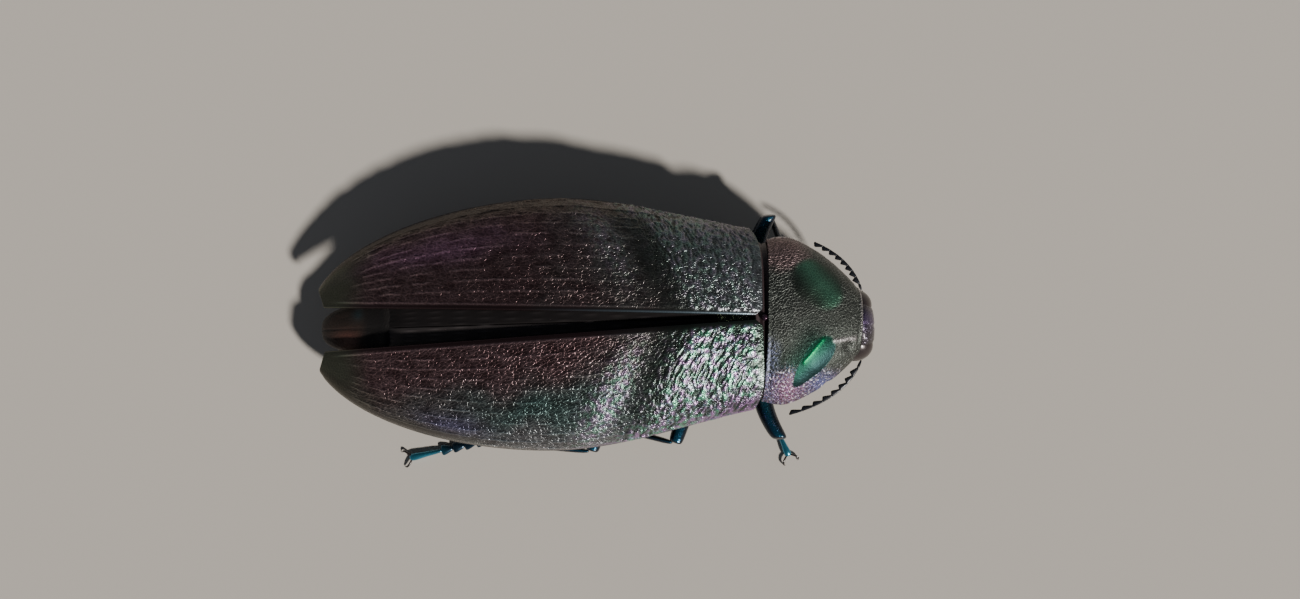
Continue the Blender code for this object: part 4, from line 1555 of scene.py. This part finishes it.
@dataclass
class Prothorax:
    """Pronotum with its two smooth emerald marks, and the breast below it."""

    bench: Bench
    base: float = 18.12
    rim: float = 8.6
    top: float = 13.5
    front_top: float = 11.2
    wall: float = 0.5
    arch_power: float = 2.1
    left_mark: Oval = Oval((23.2, 3.7), turn=-35.0, length=2.9, width=2.3, flare=0.0, blur=0.35)
    right_mark: Oval = Oval((22.95, -4.30), turn=54.0, length=3.2, width=1.25, flare=0.35, blur=0.12)
    mark_keel: Stroke = Stroke((22.0, -4.3), (23.9, -1.9), 0.20)
    # band beside the right mark's keel where shade is painted
    keel_shade: Stroke = Stroke((20.8, -5.0), (22.9, -2.4), 1.7)
    emerald_band: Stroke = Stroke((22.0, 5.6), (25.2, 1.8), 1.15)
    front_fold: Stroke = Stroke((25.2, -2.0), (27.4, -1.7), 0.22)

    def build(self) -> None:
        """Model, dress and bind both halves."""
        self._pronotum()
        self._breast()

    def _pronotum(self) -> None:
        """Make the arched upper shield."""
        plan = self.bench.plan
        sheet, share, around = self.bench.sheet("pronotum_shield", 150, 300)
        x = blend(self.base, plan.pronotum_front, share)
        turn = around * math.pi
        edge = self.rim + 0.5 * plan.seam
        crown = blend(self.top, self.front_top, plan.neck_share(x) ** 2.2)
        across = bulge(np.cos(turn), self.arch_power)
        up = bulge(np.sin(turn), self.arch_power)
        y = plan.pronotum_width(x) * across
        places = np.stack((x, y, edge + (crown - edge) * up), axis=1)
        rise, marks = self._sculpture(x, y, across)
        outward = np.stack((0.15 * share, across * 0.8, up + 0.05), axis=1)
        outward /= np.linalg.norm(outward, axis=1, keepdims=True)
        places += outward * rise[:, None]
        self.bench.move(sheet, plan.swing(places))
        for key, values in marks.items():
            self.bench.mark(sheet, key, values)
        self.bench.wall(sheet, self.wall)
        self.bench.hand_in(sheet, PRONOTUM_FINISH, "pronotum_shell", "pronotum")

    def _sculpture(self, x: Array, y: Array, across: Array) -> tuple[Array, dict[str, Array]]:
        """Rims, dents and smooth marks of the pronotum, with its painted highlights and painted shade.

        Args:
            x: Places along the body.
            y: Places across it, from the midline.
            across: Shares of the half-width.

        Returns:
            Heights, and one named set of shares for each zone.
        """
        plan = self.bench.plan
        hind, fore, side = x - self.base, plan.pronotum_front - x, 1.0 - np.abs(across)
        drift = Grain(71).at(x / 2.2, y / 2.2)
        left, left_dome = self.left_mark.over(x + 0.35 * drift, y + 0.5 * drift)
        right, right_dome = self.right_mark.over(x, y)
        keel, hollow = self.mark_keel.over(x, y), self.keel_shade.over(x, y)
        band = self.emerald_band.over(x, y + 0.4 * drift)
        fold = self.front_fold.over(x, y)
        rise = 0.03 * mound(hind - 0.12, 0.10) - 0.04 * mound(hind - 0.40, 0.16)
        rise += 0.07 * mound(fore - 0.12, 0.12) - 0.05 * mound(fore - 0.42, 0.14)
        rise += 0.08 * ramp(side, 0.010, 0.004) - 0.08 * mound(side - 0.02, 0.010)
        rise += 0.06 * left_dome + 0.03 * right_dome + 0.04 * keel + 0.06 * fold
        rise -= 0.30 * mound(np.hypot(x - 26.7, y + 2.6), 0.50)
        rise -= 0.24 * mound(np.hypot((x - 24.6) / 1.6, y + 6.3), 0.40)
        grain = Grain(72).at(x / 0.24, y / 0.24)
        rise += 0.08 * drift + 0.03 * grain * (1.0 - np.maximum(left, 0.7 * right))
        rise *= ramp(np.minimum(hind, fore), -0.02, 0.12)
        line = np.maximum(mound(fore - 0.12, 0.10), ramp(side, 0.012, 0.004))
        lit = ramp(-y + 1.2 * drift, 4.2, 6.2) * (1.0 - right)
        fleck = Grain(73).at(x / 0.13 + 5.0, y / 0.13)
        # pink and blue painted glints, gathered near the rear and the front of the right side and
        # scattered as flecks
        pink_glint = np.maximum(0.5 * mound(np.hypot(x - 20.6, y + 7.3), 1.5), 0.3 * ramp(fleck, 0.1, 0.3))
        blue_glint = np.maximum(0.4 * mound(np.hypot(x - 24.4, y + 6.6), 1.3), 0.3 * ramp(fleck, -0.1, -0.3))
        marks = {
            "along": x / SPAN,
            "out": (y + 10.0) / SPAN,
            "grit": 1.0 - np.maximum(0.7 * left, right),
            "rose": ramp(y + drift, 4.4, 5.6) * ramp(x + drift, 23.2, 21.2),
            "violet": ramp(-y + 1.2 * drift, 4.6, 6.6) * blend(0.55, 1.0, ramp(grain, -0.3, 0.3)),
            "blue": 0.8 * ramp(hind + drift, 1.6, 0.3) * ramp(-y, 1.0, 3.5) * ramp(grain, -0.3, 0.2),
            # painted glints on the side toward the lamp
            "pink_glint": lit * pink_glint,
            "blue_glint": lit * blue_glint,
            "sheen": 0.5 * lit * ramp(grain, 0.18, 0.40),
            # painted shade beside the right mark's keel
            "shade": 0.9 * hollow,
            "painted_shade_and_dark_spot": left,
            "emerald": 0.9 * left * band,
            "deep": right,
            "teal": right * ramp(x - y, 26.6, 28.2),
            # painted highlight: a green glint along the right mark's keel
            "glint": keel * np.maximum(right, hollow),
            "smooth": np.maximum(0.3 * np.maximum(0.8 * left, right), 0.8 * line),
            # painted highlight: pale lines along the front rim, the left rim and the front fold
            "margin_highlight": np.maximum(line * ramp(y, -2.0, 1.0), 0.8 * fold),
        }
        return rise, marks

    def _breast(self) -> None:
        """Make the breast plate below the neck, with the blade between the front hips."""
        plan = self.bench.plan
        sheet, along, around = self.bench.sheet("breast_shield", 80, 160)
        x = blend(plan.pronotum_base, plan.pronotum_front, along)
        turn = around * math.pi
        edge = self.rim - 0.5 * plan.seam
        floor = blend(3.0, 5.2, plan.neck_share(x) ** 2)
        y = (plan.pronotum_width(x) - 0.35) * bulge(np.cos(turn), plan.belly_power)
        down = bulge(np.sin(turn), plan.belly_power)
        wide, ahead = np.abs(y), ramp(x, 24.0, 22.5)
        blade = ramp(wide, 1.3, 0.9) * ahead
        groove = mound(wide - 1.25, 0.14) * ahead
        groove += mound(wide - 5.2 + 0.35 * (x - 20.0), 0.16) * ramp(x, 26.5, 25.0)
        rise = 0.10 * blade - 0.16 * groove + 0.04 * Grain(83).at(x / 0.45, y / 0.45)
        places = np.stack((x, y, edge - (edge - floor) * down - rise * down), axis=1)
        self.bench.move(sheet, plan.swing(places))
        self.bench.mark(sheet, "groove", groove)
        self.bench.mark(sheet, "copper", blade)
        self.bench.wall(sheet, self.wall, up=False)
        self.bench.hand_in(sheet, UNDERSIDE_FINISH, "underside_shell", "prosternum")


@dataclass
class Head:
    """Head capsule with its eyes, jaws, lip and feeler-like mouth limbs."""

    bench: Bench
    centre: Point = (27.0, 0.0, 7.8)
    radii: Point = (3.05, 3.5, 3.6)
    shift: float = -0.25
    eye_centre: Point = (27.85, 2.2, 8.3)
    eye_radii: Point = (1.85, 1.55, 2.1)
    eye_lean: float = 24.0

    def build(self) -> None:
        """Model, dress and bind the head and what it bears."""
        self._capsule()
        for side in Side:
            self._eye(side)
            self._jaw(side)
        self._lip()
        self._mouth_limbs()

    def _capsule(self) -> None:
        """Make the pitted skull with its middle furrow."""
        ball = self.bench.ball("head_capsule", 128, 80)
        unit = self.bench.points(ball)
        x, y, z = unit.T
        furrow = mound(y, 0.045) * ramp(z, -0.35, 0.1) * ramp(x, 0.2, 0.5)
        hollow = mound(y, 0.35) * mound(z - 0.05, 0.30) * ramp(x, 0.5, 0.9)
        brow = mound(np.abs(y) - 0.42, 0.10) * mound(z + 0.42, 0.12) * ramp(x, 0.3, 0.6)
        dust = Grain(91).at(y * 11.0, z * 11.0) * ramp(x, 0.2, 0.5)
        swell = 1.0 - 0.030 * furrow - 0.035 * hollow + 0.02 * brow + 0.008 * dust
        swell *= 1.0 + 0.05 * mound(np.abs(y) - 0.50, 0.22) * ramp(x, 0.3, 0.6)
        swell *= 1.0 - 0.16 * ramp(x, 0.48, 0.05)
        places = unit * swell[:, None] * np.array(self.radii) + np.array(self.centre)
        self.bench.move(ball, self._placed(places))
        self.bench.mark(ball, "violet", ramp(z, 0.0, 0.4) * mound(y - 0.12, 0.28))
        fleck = ramp(Grain(92).at(x * 18.0, y * 14.0), 0.22, 0.36)
        self.bench.mark(ball, "glint", fleck * ramp(z, 0.3, 0.6) * mound(y + 0.18, 0.30))
        self.bench.hand_in(ball, HEAD_FINISH, "head_shell", "head")

    def _eye(self, side: Side) -> None:
        """Make one long glossy eye."""
        ball = self.bench.ball("eye_lens_" + side.label, 48, 64)
        places = self.bench.points(ball) * np.array(self.eye_radii)
        angle = side.value * math.radians(self.eye_lean)
        y = places[:, 1] * math.cos(angle) - places[:, 2] * math.sin(angle)
        z = places[:, 1] * math.sin(angle) + places[:, 2] * math.cos(angle)
        centre = np.array(self.eye_centre) * (1.0, side.value, 1.0)
        self.bench.move(ball, np.stack((places[:, 0], y, z), axis=1) + self._placed(centre[None]))
        self.bench.hand_in(ball, EYE_FINISH, "eye", "eye_" + side.label)

    def _jaw(self, side: Side) -> None:
        """Make one stout curved jaw."""
        jaw = self.bench.limb("jaw_" + side.label, (
            Station(0.00, 0.30, 0.46), Station(0.30, 0.44, 0.62), Station(0.75, 0.42, 0.58, 0.06),
            Station(1.15, 0.30, 0.42, 0.02), Station(1.50, 0.16, 0.24, -0.12),
            Station(1.75, 0.05, 0.08, -0.28)))
        if side is Side.RIGHT:
            jaw.data.transform(Matrix.Diagonal((1.0, -1.0, 1.0, 1.0)))
            jaw.data.flip_normals()
        near = self._leaning(28.55, 0.95 * side.value, 5.15)
        far = self._leaning(29.15, 0.62 * side.value, 3.70)
        self.bench.stand(jaw, near, far, (1.0, 0.0, 0.3))
        self.bench.hand_in(jaw, JAW_FINISH, "jaw", "mandible_" + side.label)

    def _placed(self, places: Array) -> Array:
        """Points of the head on the leaning neck, one to a row."""
        return self.bench.plan.lean(places) + np.array((0.0, self.shift, 0.0))

    def _leaning(self, x: float, y: float, z: float) -> Array:
        """Place on the leaning fore body."""
        return self._placed(np.array([[x, y, z]]))[0]

    def _lip(self) -> None:
        """Make the plate and lip over the jaws."""
        lip = self.bench.limb("upper_lip", (
            Station(0.0, 0.85, 0.20), Station(0.22, 1.0, 0.24), Station(0.55, 0.92, 0.18),
            Station(0.72, 0.62, 0.10)))
        self.bench.stand(lip, self._leaning(29.35, 0.0, 5.75), self._leaning(29.72, 0.0, 4.95),
                         (1.0, 0.0, 0.5))
        self.bench.hand_in(lip, HEAD_FINISH, "head_shell")

    def _mouth_limbs(self) -> None:
        """Make the four short jointed limbs below the jaws."""
        joint = self.bench.limb("mouth_joint", (
            Station(0.0, 0.07, 0.07), Station(0.12, 0.12, 0.12), Station(0.42, 0.15, 0.15),
            Station(0.55, 0.09, 0.09)), 8, 1)
        parts = []
        for side in Side:
            for places in (((28.7, 1.45, 4.7), (29.1, 1.75, 4.35), (29.4, 1.6, 4.0), (29.5, 1.3, 3.75)),
                           ((28.5, 0.6, 4.1), (28.8, 0.7, 3.75), (29.15, 0.55, 3.6))):
                for start, end in zip(places, places[1:]):
                    twin = self.bench.copy(joint, "mouth_joint_copy")
                    near, far = (self._leaning(x, y * side.value, z) for x, y, z in (start, end))
                    self.bench.stand(twin, near, far)
                    parts.append(twin)
        self.bench.scrap(joint)
        self.bench.hand_in(self.bench.join(parts, "mouth_limbs"), JAW_FINISH, "jaw")


@dataclass
class Feeler:
    """Saw-toothed feeler of eleven joints."""

    bench: Bench
    side: Side
    path: tuple[Point, Point, Point]
    joints: int = 11
    joint_share: float = 0.96
    plain_girths: tuple[float, ...] = (0.30, 0.20, 0.18)
    tooth: float = 0.41
    tip_taper: float = 0.72
    flatness: float = 0.55

    def build(self) -> None:
        """Model, dress and bind the feeler."""
        stem = self.bench.limb("feeler_stem", (
            Station(0.0, 0.45, 0.45), Station(0.2, 0.75, 0.75), Station(0.7, 1.0, 1.0),
            Station(0.95, 0.8, 0.8), Station(1.0, 0.5, 0.5)), 10, 1)
        saw = self.bench.limb("feeler_tooth", (
            Station(-0.10, 0.30, 0.42), Station(0.15, 0.52, 0.62, 0.08), Station(0.60, 0.86, 0.68, 0.42),
            Station(0.86, 1.02, 0.58, 0.62), Station(0.98, 0.62, 0.40, 0.16),
            Station(1.12, 0.30, 0.30, 0.0)), 10, 1)
        if self.side is Side.RIGHT:
            saw.data.transform(Matrix.Diagonal((1.0, -1.0, 1.0, 1.0)))
            saw.data.flip_normals()
        parts = []
        for index in range(self.joints):
            start = self._place(index / self.joints)
            end = self._place((index + self.joint_share) / self.joints)
            length = float(np.linalg.norm(end - start))
            plain = index < len(self.plain_girths)
            twin = self.bench.copy(stem if plain else saw, "feeler_joint")
            taper = blend(1.0, self.tip_taper, index / (self.joints - 1))
            girth = self.plain_girths[index] if plain else self.tooth * taper
            depth = girth if plain else self.flatness * girth
            twin.data.transform(Matrix.Diagonal((length, girth, depth, 1.0)))
            self.bench.stand(twin, start, end)
            parts.append(twin)
        self.bench.scrap(stem)
        self.bench.scrap(saw)
        whole = self.bench.join(parts, "feeler_" + self.side.label)
        self.bench.mark(whole, "edge", ramp(self.bench.normals(whole)[:, 2], 0.3, -0.6))
        self.bench.hand_in(whole, FEELER_FINISH, "feeler", "antenna_" + self.side.label)

    def _place(self, share: float) -> Array:
        """Point of the feeler's path, which passes its middle place half-way."""
        start, middle, end = (np.array(place) for place in self.path)
        bend = 2.0 * middle - 0.5 * (start + end)
        near, far = blend(start, bend, share), blend(bend, end, share)
        return self.bench.plan.lean(blend(near, far, share)[None])[0]


# ---------------------------------------------------------------- legs

@dataclass
class Leg:
    """One leg: hip, thigh, shin with its spurs, five-jointed foot and two claws."""

    bench: Bench
    label: str
    hip: Point
    knee: Point
    ankle: Point
    foot: float
    turn: float
    thigh: float = 0.95
    shin: float = 0.55
    sole: float = 0.72
    bow: float = 0.35
    front_thigh: float = 1.1
    front_bow: float = 1.7
    spines: int = 9
    spine_size: float = 0.55
    foot_joints: int = 4
    joints_share: float = 0.58
    joint_height: float = 0.31
    joint_level: float = 0.36
    pad_width: float = 0.42
    pad_height: float = 0.12

    HIP_RADII = {"front": (1.25, 1.6, 1.15), "middle": (1.3, 1.7, 1.1), "hind": (1.3, 2.4, 1.0)}

    def build(self) -> None:
        """Model, dress and bind the whole leg."""
        self._hip()
        self._thigh()
        self._shin()
        self._foot()

    def _dress(self, piece: Piece, node: str) -> None:
        """Mark a limb's faces that look straight up or down for their cyan painted highlight, and hand
        it in as leg shell.
        """
        self.bench.mark(piece, "edge", ramp(np.abs(self.bench.normals(piece)[:, 2]), 0.80, 1.0))
        self.bench.hand_in(piece, LEG_FINISH, "leg_shell", f"{self.label}_{node}")

    def _hip(self) -> None:
        """Make the hip joint that sits in the breast."""
        hip = self.bench.ball(self.label + "_hip", 40, 28)
        places = self.bench.points(hip)
        places[:, 2] -= 0.10 * mound(places[:, 1], 0.25) * np.sign(places[:, 2])
        radii = np.array(self.HIP_RADII[self.label.split("_")[0]])
        self.bench.move(hip, places * radii + np.array(self.hip))
        self._dress(hip, "coxa")

    def _thigh(self) -> None:
        """Make the flattened, spindle-shaped thigh."""
        start, end = np.array(self.hip), np.array(self.knee)
        length = float(np.linalg.norm(end - start))
        profile = ((0.00, 0.34), (0.03, 0.60), (0.10, 0.72), (0.25, 0.90), (0.45, 1.0), (0.65, 1.0),
                   (0.82, 0.95), (0.93, 0.90), (0.98, 0.82), (1.0, 0.58))
        front = "front" in self.label
        girth = self.front_thigh if front else self.thigh
        aside = self.front_bow * front * (1.0 if "left" in self.label else -1.0)
        stations = [Station(share * length, 0.98 * girth * size, 0.80 * girth * size,
                            aside * math.sin(math.pi * share), -self.bow * math.sin(math.pi * share))
                    for share, size in profile]
        thigh = self.bench.limb(self.label + "_thigh", stations, 12, 2)
        self.bench.stand(thigh, start, end)
        self._dress(thigh, "femur")

    def _shin(self) -> None:
        """Make the slender shin, with two spurs at its end and a row of short spines."""
        knee, ankle = np.array(self.knee), np.array(self.ankle)
        way = (ankle - knee) / np.linalg.norm(ankle - knee)
        start, end = knee + way * 0.35 * self.thigh, ankle - way * 0.12
        length = float(np.linalg.norm(end - start))
        profile = ((0.0, 0.35), (0.03, 0.62), (0.12, 0.85), (0.40, 0.90), (0.75, 0.98), (0.93, 1.05),
                   (0.985, 0.85), (1.0, 0.5))
        stations = [Station(share * length, 0.70 * self.shin * size, self.shin * size)
                    for share, size in profile]
        shin = self.bench.limb(self.label + "_shin", stations, 10, 2)
        spine = self.bench.limb("shin_spine", (
            Station(0.0, 0.10, 0.10), Station(0.2, 0.08, 0.08), Station(0.5, 0.015, 0.015)), 6, 1)
        parts = [shin]
        for index in range(self.spines):
            twin = self.bench.copy(spine, "shin_spine_copy")
            twin.data.transform(Matrix.Scale(self.spine_size, 4))
            share = blend(0.35, 0.92, index / (self.spines - 1))
            root = np.array([share * length, 0.0, -0.92 * self.shin])
            self.bench.stand(twin, root, root + np.array([0.6, 0.0, -0.8]), (0.0, 1.0, 0.0))
            parts.append(twin)
        for sign in (1.0, -1.0):
            twin = self.bench.copy(spine, "shin_spur")
            root = np.array([0.95 * length, sign * 0.25, -0.30])
            self.bench.stand(twin, root, root + np.array([1.0, sign * 0.25, -0.25]))
            parts.append(twin)
        self.bench.scrap(spine)
        whole = self.bench.join(parts, self.label + "_shin")
        self.bench.stand(whole, start, end)
        self._dress(whole, "tibia")

    def _foot(self) -> None:
        """Make the foot's joints, pads and claws where the foot lies on the floor."""
        heading = math.radians(self.turn)
        placing = Matrix.Translation((self.ankle[0], self.ankle[1], 0.0)) @ Matrix.Rotation(
            heading, 4, "Z")
        lobe = self.bench.limb("foot_lobe", (
            Station(0.0, 0.34, 0.50), Station(0.15, 0.50, 0.72), Station(0.60, 0.88, 0.95),
            Station(0.88, 1.0, 0.98), Station(1.0, 0.72, 0.62)), 10, 1)
        parts, pads = [], []
        span = self.joints_share * self.foot / self.foot_joints
        for index in range(self.foot_joints):
            twin = self.bench.copy(lobe, "foot_joint")
            start, end = index * span, (index + 1.02) * span
            twin.data.transform(
                Matrix.Diagonal((end - start, 0.92 * self.sole, self.joint_height, 1.0)))
            near, far = self._lift(start), self._lift(end)
            self.bench.stand(twin, np.array([start, 0.0, self.joint_level + near]),
                             np.array([end, 0.0, self.joint_level + far]))
            parts.append(twin)
            pad = self.bench.ball("foot_pad", 16, 10)
            radii = (0.30 * span, self.pad_width, self.pad_height)
            self.bench.move(pad, self.bench.points(pad) * radii + (
                end - 0.35 * span, 0.0, self.pad_height + far))
            pads.append(pad)
        self.bench.scrap(lobe)
        rear = self.foot_joints * span
        last = self.bench.limb("last_joint", (
            Station(rear - 0.1, 0.16, 0.16, 0.0, 0.38), Station(rear + 0.3, 0.24, 0.22, 0.0, 0.40),
            Station(blend(rear, self.foot, 0.55), 0.32, 0.27, 0.0, 0.46),
            Station(0.90 * self.foot, 0.45, 0.34, 0.0, 0.44),
            Station(0.96 * self.foot, 0.40, 0.28, 0.0, 0.40),
            Station(0.98 * self.foot, 0.22, 0.14, 0.0, 0.38)), 12, 2)
        parts.append(last)
        foot = self.bench.join(parts, self.label + "_foot")
        ahead = self.bench.points(foot)[:, 0] / self.foot
        foot.data.transform(placing)
        self.bench.mark(foot, "tip", ramp(ahead, 0.45, 0.75))
        self.bench.hand_in(foot, FOOT_FINISH, "foot_shell", self.label + "_tarsus")
        soles = self.bench.join(pads, self.label + "_pads")
        soles.data.transform(placing)
        self.bench.hand_in(soles, PAD_FINISH, "foot_shell")
        for side in Side:
            self._claw(side, placing)

    def _lift(self, place: float) -> float:
        """How far the foot is held off the floor at a distance from the ankle."""
        return (self.ankle[2] - self.joint_level) * max(0.0, 1.0 - 3.0 * place / self.foot) ** 2

    def _claw(self, side: Side, placing: Matrix) -> None:
        """Make one hooked claw.

        Args:
            side: Side of the foot's own middle.
            placing: Place and heading of the foot.
        """
        sign = side.value
        root = 0.95 * self.foot
        claw = self.bench.limb(f"{self.label}_claw_{side.label}", (
            Station(root, 0.19, 0.19, sign * 0.16, 0.38),
            Station(root + 0.26, 0.20, 0.19, sign * 0.50, 0.46),
            Station(root + 0.60, 0.17, 0.15, sign * 0.84, 0.44),
            Station(root + 0.84, 0.12, 0.11, sign * 0.92, 0.32),
            Station(root + 1.02, 0.06, 0.07, sign * 0.84, 0.17),
            Station(root + 1.10, 0.015, 0.02, sign * 0.74, 0.06)), 8, 2)
        claw.data.transform(placing)
        self.bench.hand_in(claw, CLAW_FINISH, "foot_shell")


# ---------------------------------------------------------------- studio

@dataclass
class Studio:
    """Pale floor, soft air light, a sun lamp and the camera above the beetle."""

    floor_size: float = 20.0
    horizon: Colour = (0.28, 0.29, 0.31)
    overhead: Colour = (0.035, 0.040, 0.050)
    camera_place: Point = (6.027, -0.995, 123.53)
    elevation: float = 87.55
    roll: float = 1.44
    lens: float = 30.0
    sensor: float = 36.0
    key_colour: Colour = (1.0, 0.95, 0.88)
    key_power: float = 4.7
    key_spread: float = 5.0
    key_azimuth: float = -46.0
    key_elevation: float = 38.0

    def build(self) -> None:
        """Set floor, world, lights and camera."""
        Bench.clear()
        bpy.ops.mesh.primitive_plane_add(size=self.floor_size)
        floor = Bench.named("studio_floor")
        floor.data.materials.append(FloorFinish().build())
        self._air()
        around, above = math.radians(self.key_azimuth), math.radians(self.key_elevation)
        way = Vector((math.cos(above) * math.cos(around), math.cos(above) * math.sin(around),
                      math.sin(above)))
        bpy.ops.object.light_add(type="SUN", location=way,
                                 rotation=way.to_track_quat("Z", "Y").to_euler())
        lamp = bpy.context.object
        lamp.name = "key_lamp"
        lamp.data.energy = self.key_power
        lamp.data.angle = math.radians(self.key_spread)
        lamp.data.color = self.key_colour
        self._camera()
        LOG.info("studio set")

    def _air(self) -> None:
        """Fill the studio with soft light that is pale at eye level and dim overhead."""
        world = bpy.data.worlds.new("studio_air")
        world.use_nodes = True
        tree = world.node_tree
        places = tree.nodes.new("ShaderNodeTexCoord")
        parts = tree.nodes.new("ShaderNodeSeparateXYZ")
        shade = tree.nodes.new("ShaderNodeValToRGB")
        stops = ((0.0, self.horizon), (0.75, self.overhead))
        for element, (height, colour) in zip(shade.color_ramp.elements, stops):
            element.position = height
            element.color = (*colour, 1.0)
        tree.links.new(places.outputs["Generated"], parts.inputs["Vector"])
        tree.links.new(parts.outputs["Z"], shade.inputs["Fac"])
        tree.links.new(shade.outputs["Color"], tree.nodes["Background"].inputs["Color"])
        bpy.context.scene.world = world

    def _camera(self) -> None:
        """Hang the camera over the beetle, looking almost straight down."""
        roll, rise = math.radians(self.roll), math.radians(self.elevation)
        right = Vector((math.cos(roll), -math.sin(roll), 0.0))
        ahead = Vector((math.sin(roll), math.cos(roll), 0.0))
        up = ahead * math.sin(rise) + Vector((0.0, 0.0, math.cos(rise)))
        turn = Matrix((right, up, right.cross(up))).transposed().to_4x4()
        bpy.ops.object.camera_add(location=Vector(self.camera_place) * MM)
        camera = bpy.context.object
        camera.name = "studio_camera"
        camera.matrix_world = Matrix.Translation(Vector(self.camera_place) * MM) @ turn
        camera.data.sensor_width = self.sensor
        camera.data.lens = self.lens
        camera.data.clip_start = 0.001
        bpy.context.scene.camera = camera


# ---------------------------------------------------------------- whole beetle

# Name, hip, knee, ankle, length of the foot and its heading in degrees.
LEGS = (
    ("front_left", (19.8, 2.6, 3.4), (19.4, 11.3, 6.2), (21.6, 7.5, 1.15), 5.4, -36.0),
    ("front_right", (19.8, -3.0, 3.4), (19.8, -13.0, 6.4), (18.9, -9.2, 1.15), 6.9, -68.0),
    ("middle_left", (12.6, 2.7, 3.1), (9.2, 10.9, 4.7), (2.4, 9.2, 1.15), 6.2, 176.0),
    ("middle_right", (12.6, -2.7, 3.1), (8.5, -13.3, 4.9), (1.6, -11.6, 1.15), 6.2, -177.0),
    ("hind_left", (2.6, 2.9, 3.0), (-0.6, 12.0, 4.4), (-11.2, 9.6, 1.15), 8.4, 173.0),
    ("hind_right", (2.6, -2.9, 3.0), (-0.6, -14.0, 4.6), (-12.6, -12.8, 1.15), 9.2, -168.5),
)
FEELERS = {
    Side.LEFT: ((29.5, 2.0, 5.5), (28.0, 6.0, 5.9), (24.3, 8.7, 5.6)),
    Side.RIGHT: ((29.5, -2.0, 5.5), (26.9, -6.9, 5.9), (21.1, -10.1, 5.0)),
}


def main() -> None:
    """Build the studio and every piece of the beetle, in order."""
    logging.basicConfig(level=logging.INFO, format="%(name)s: %(message)s")
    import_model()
    low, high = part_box("scutellum")
    middle = (np.array(low) + np.array(high)) / 2.0 / MM
    plan = BodyPlan(shift=tuple(middle - np.array(Scutellum.centre)))
    LOG.info("model's frame lies %s mm from the beetle's axes", np.round(plan.shift, 3))
    bench = Bench(plan)
    Studio().build()
    makers: list[Callable[[], None]] = []
    for side in Side:
        makers += [WingCase(bench, side).build, FoldedWing(bench, side).build]
    makers += [Scutellum(bench).build, Collar(bench).build, Trunk(bench).build, Abdomen(bench).build,
               Prothorax(bench).build, Head(bench).build]
    makers += [Feeler(bench, side, path).build for side, path in FEELERS.items()]
    makers += [Leg(bench, *leg).build for leg in LEGS]
    for make in makers:
        make()


if __name__ == "__main__":
    main()
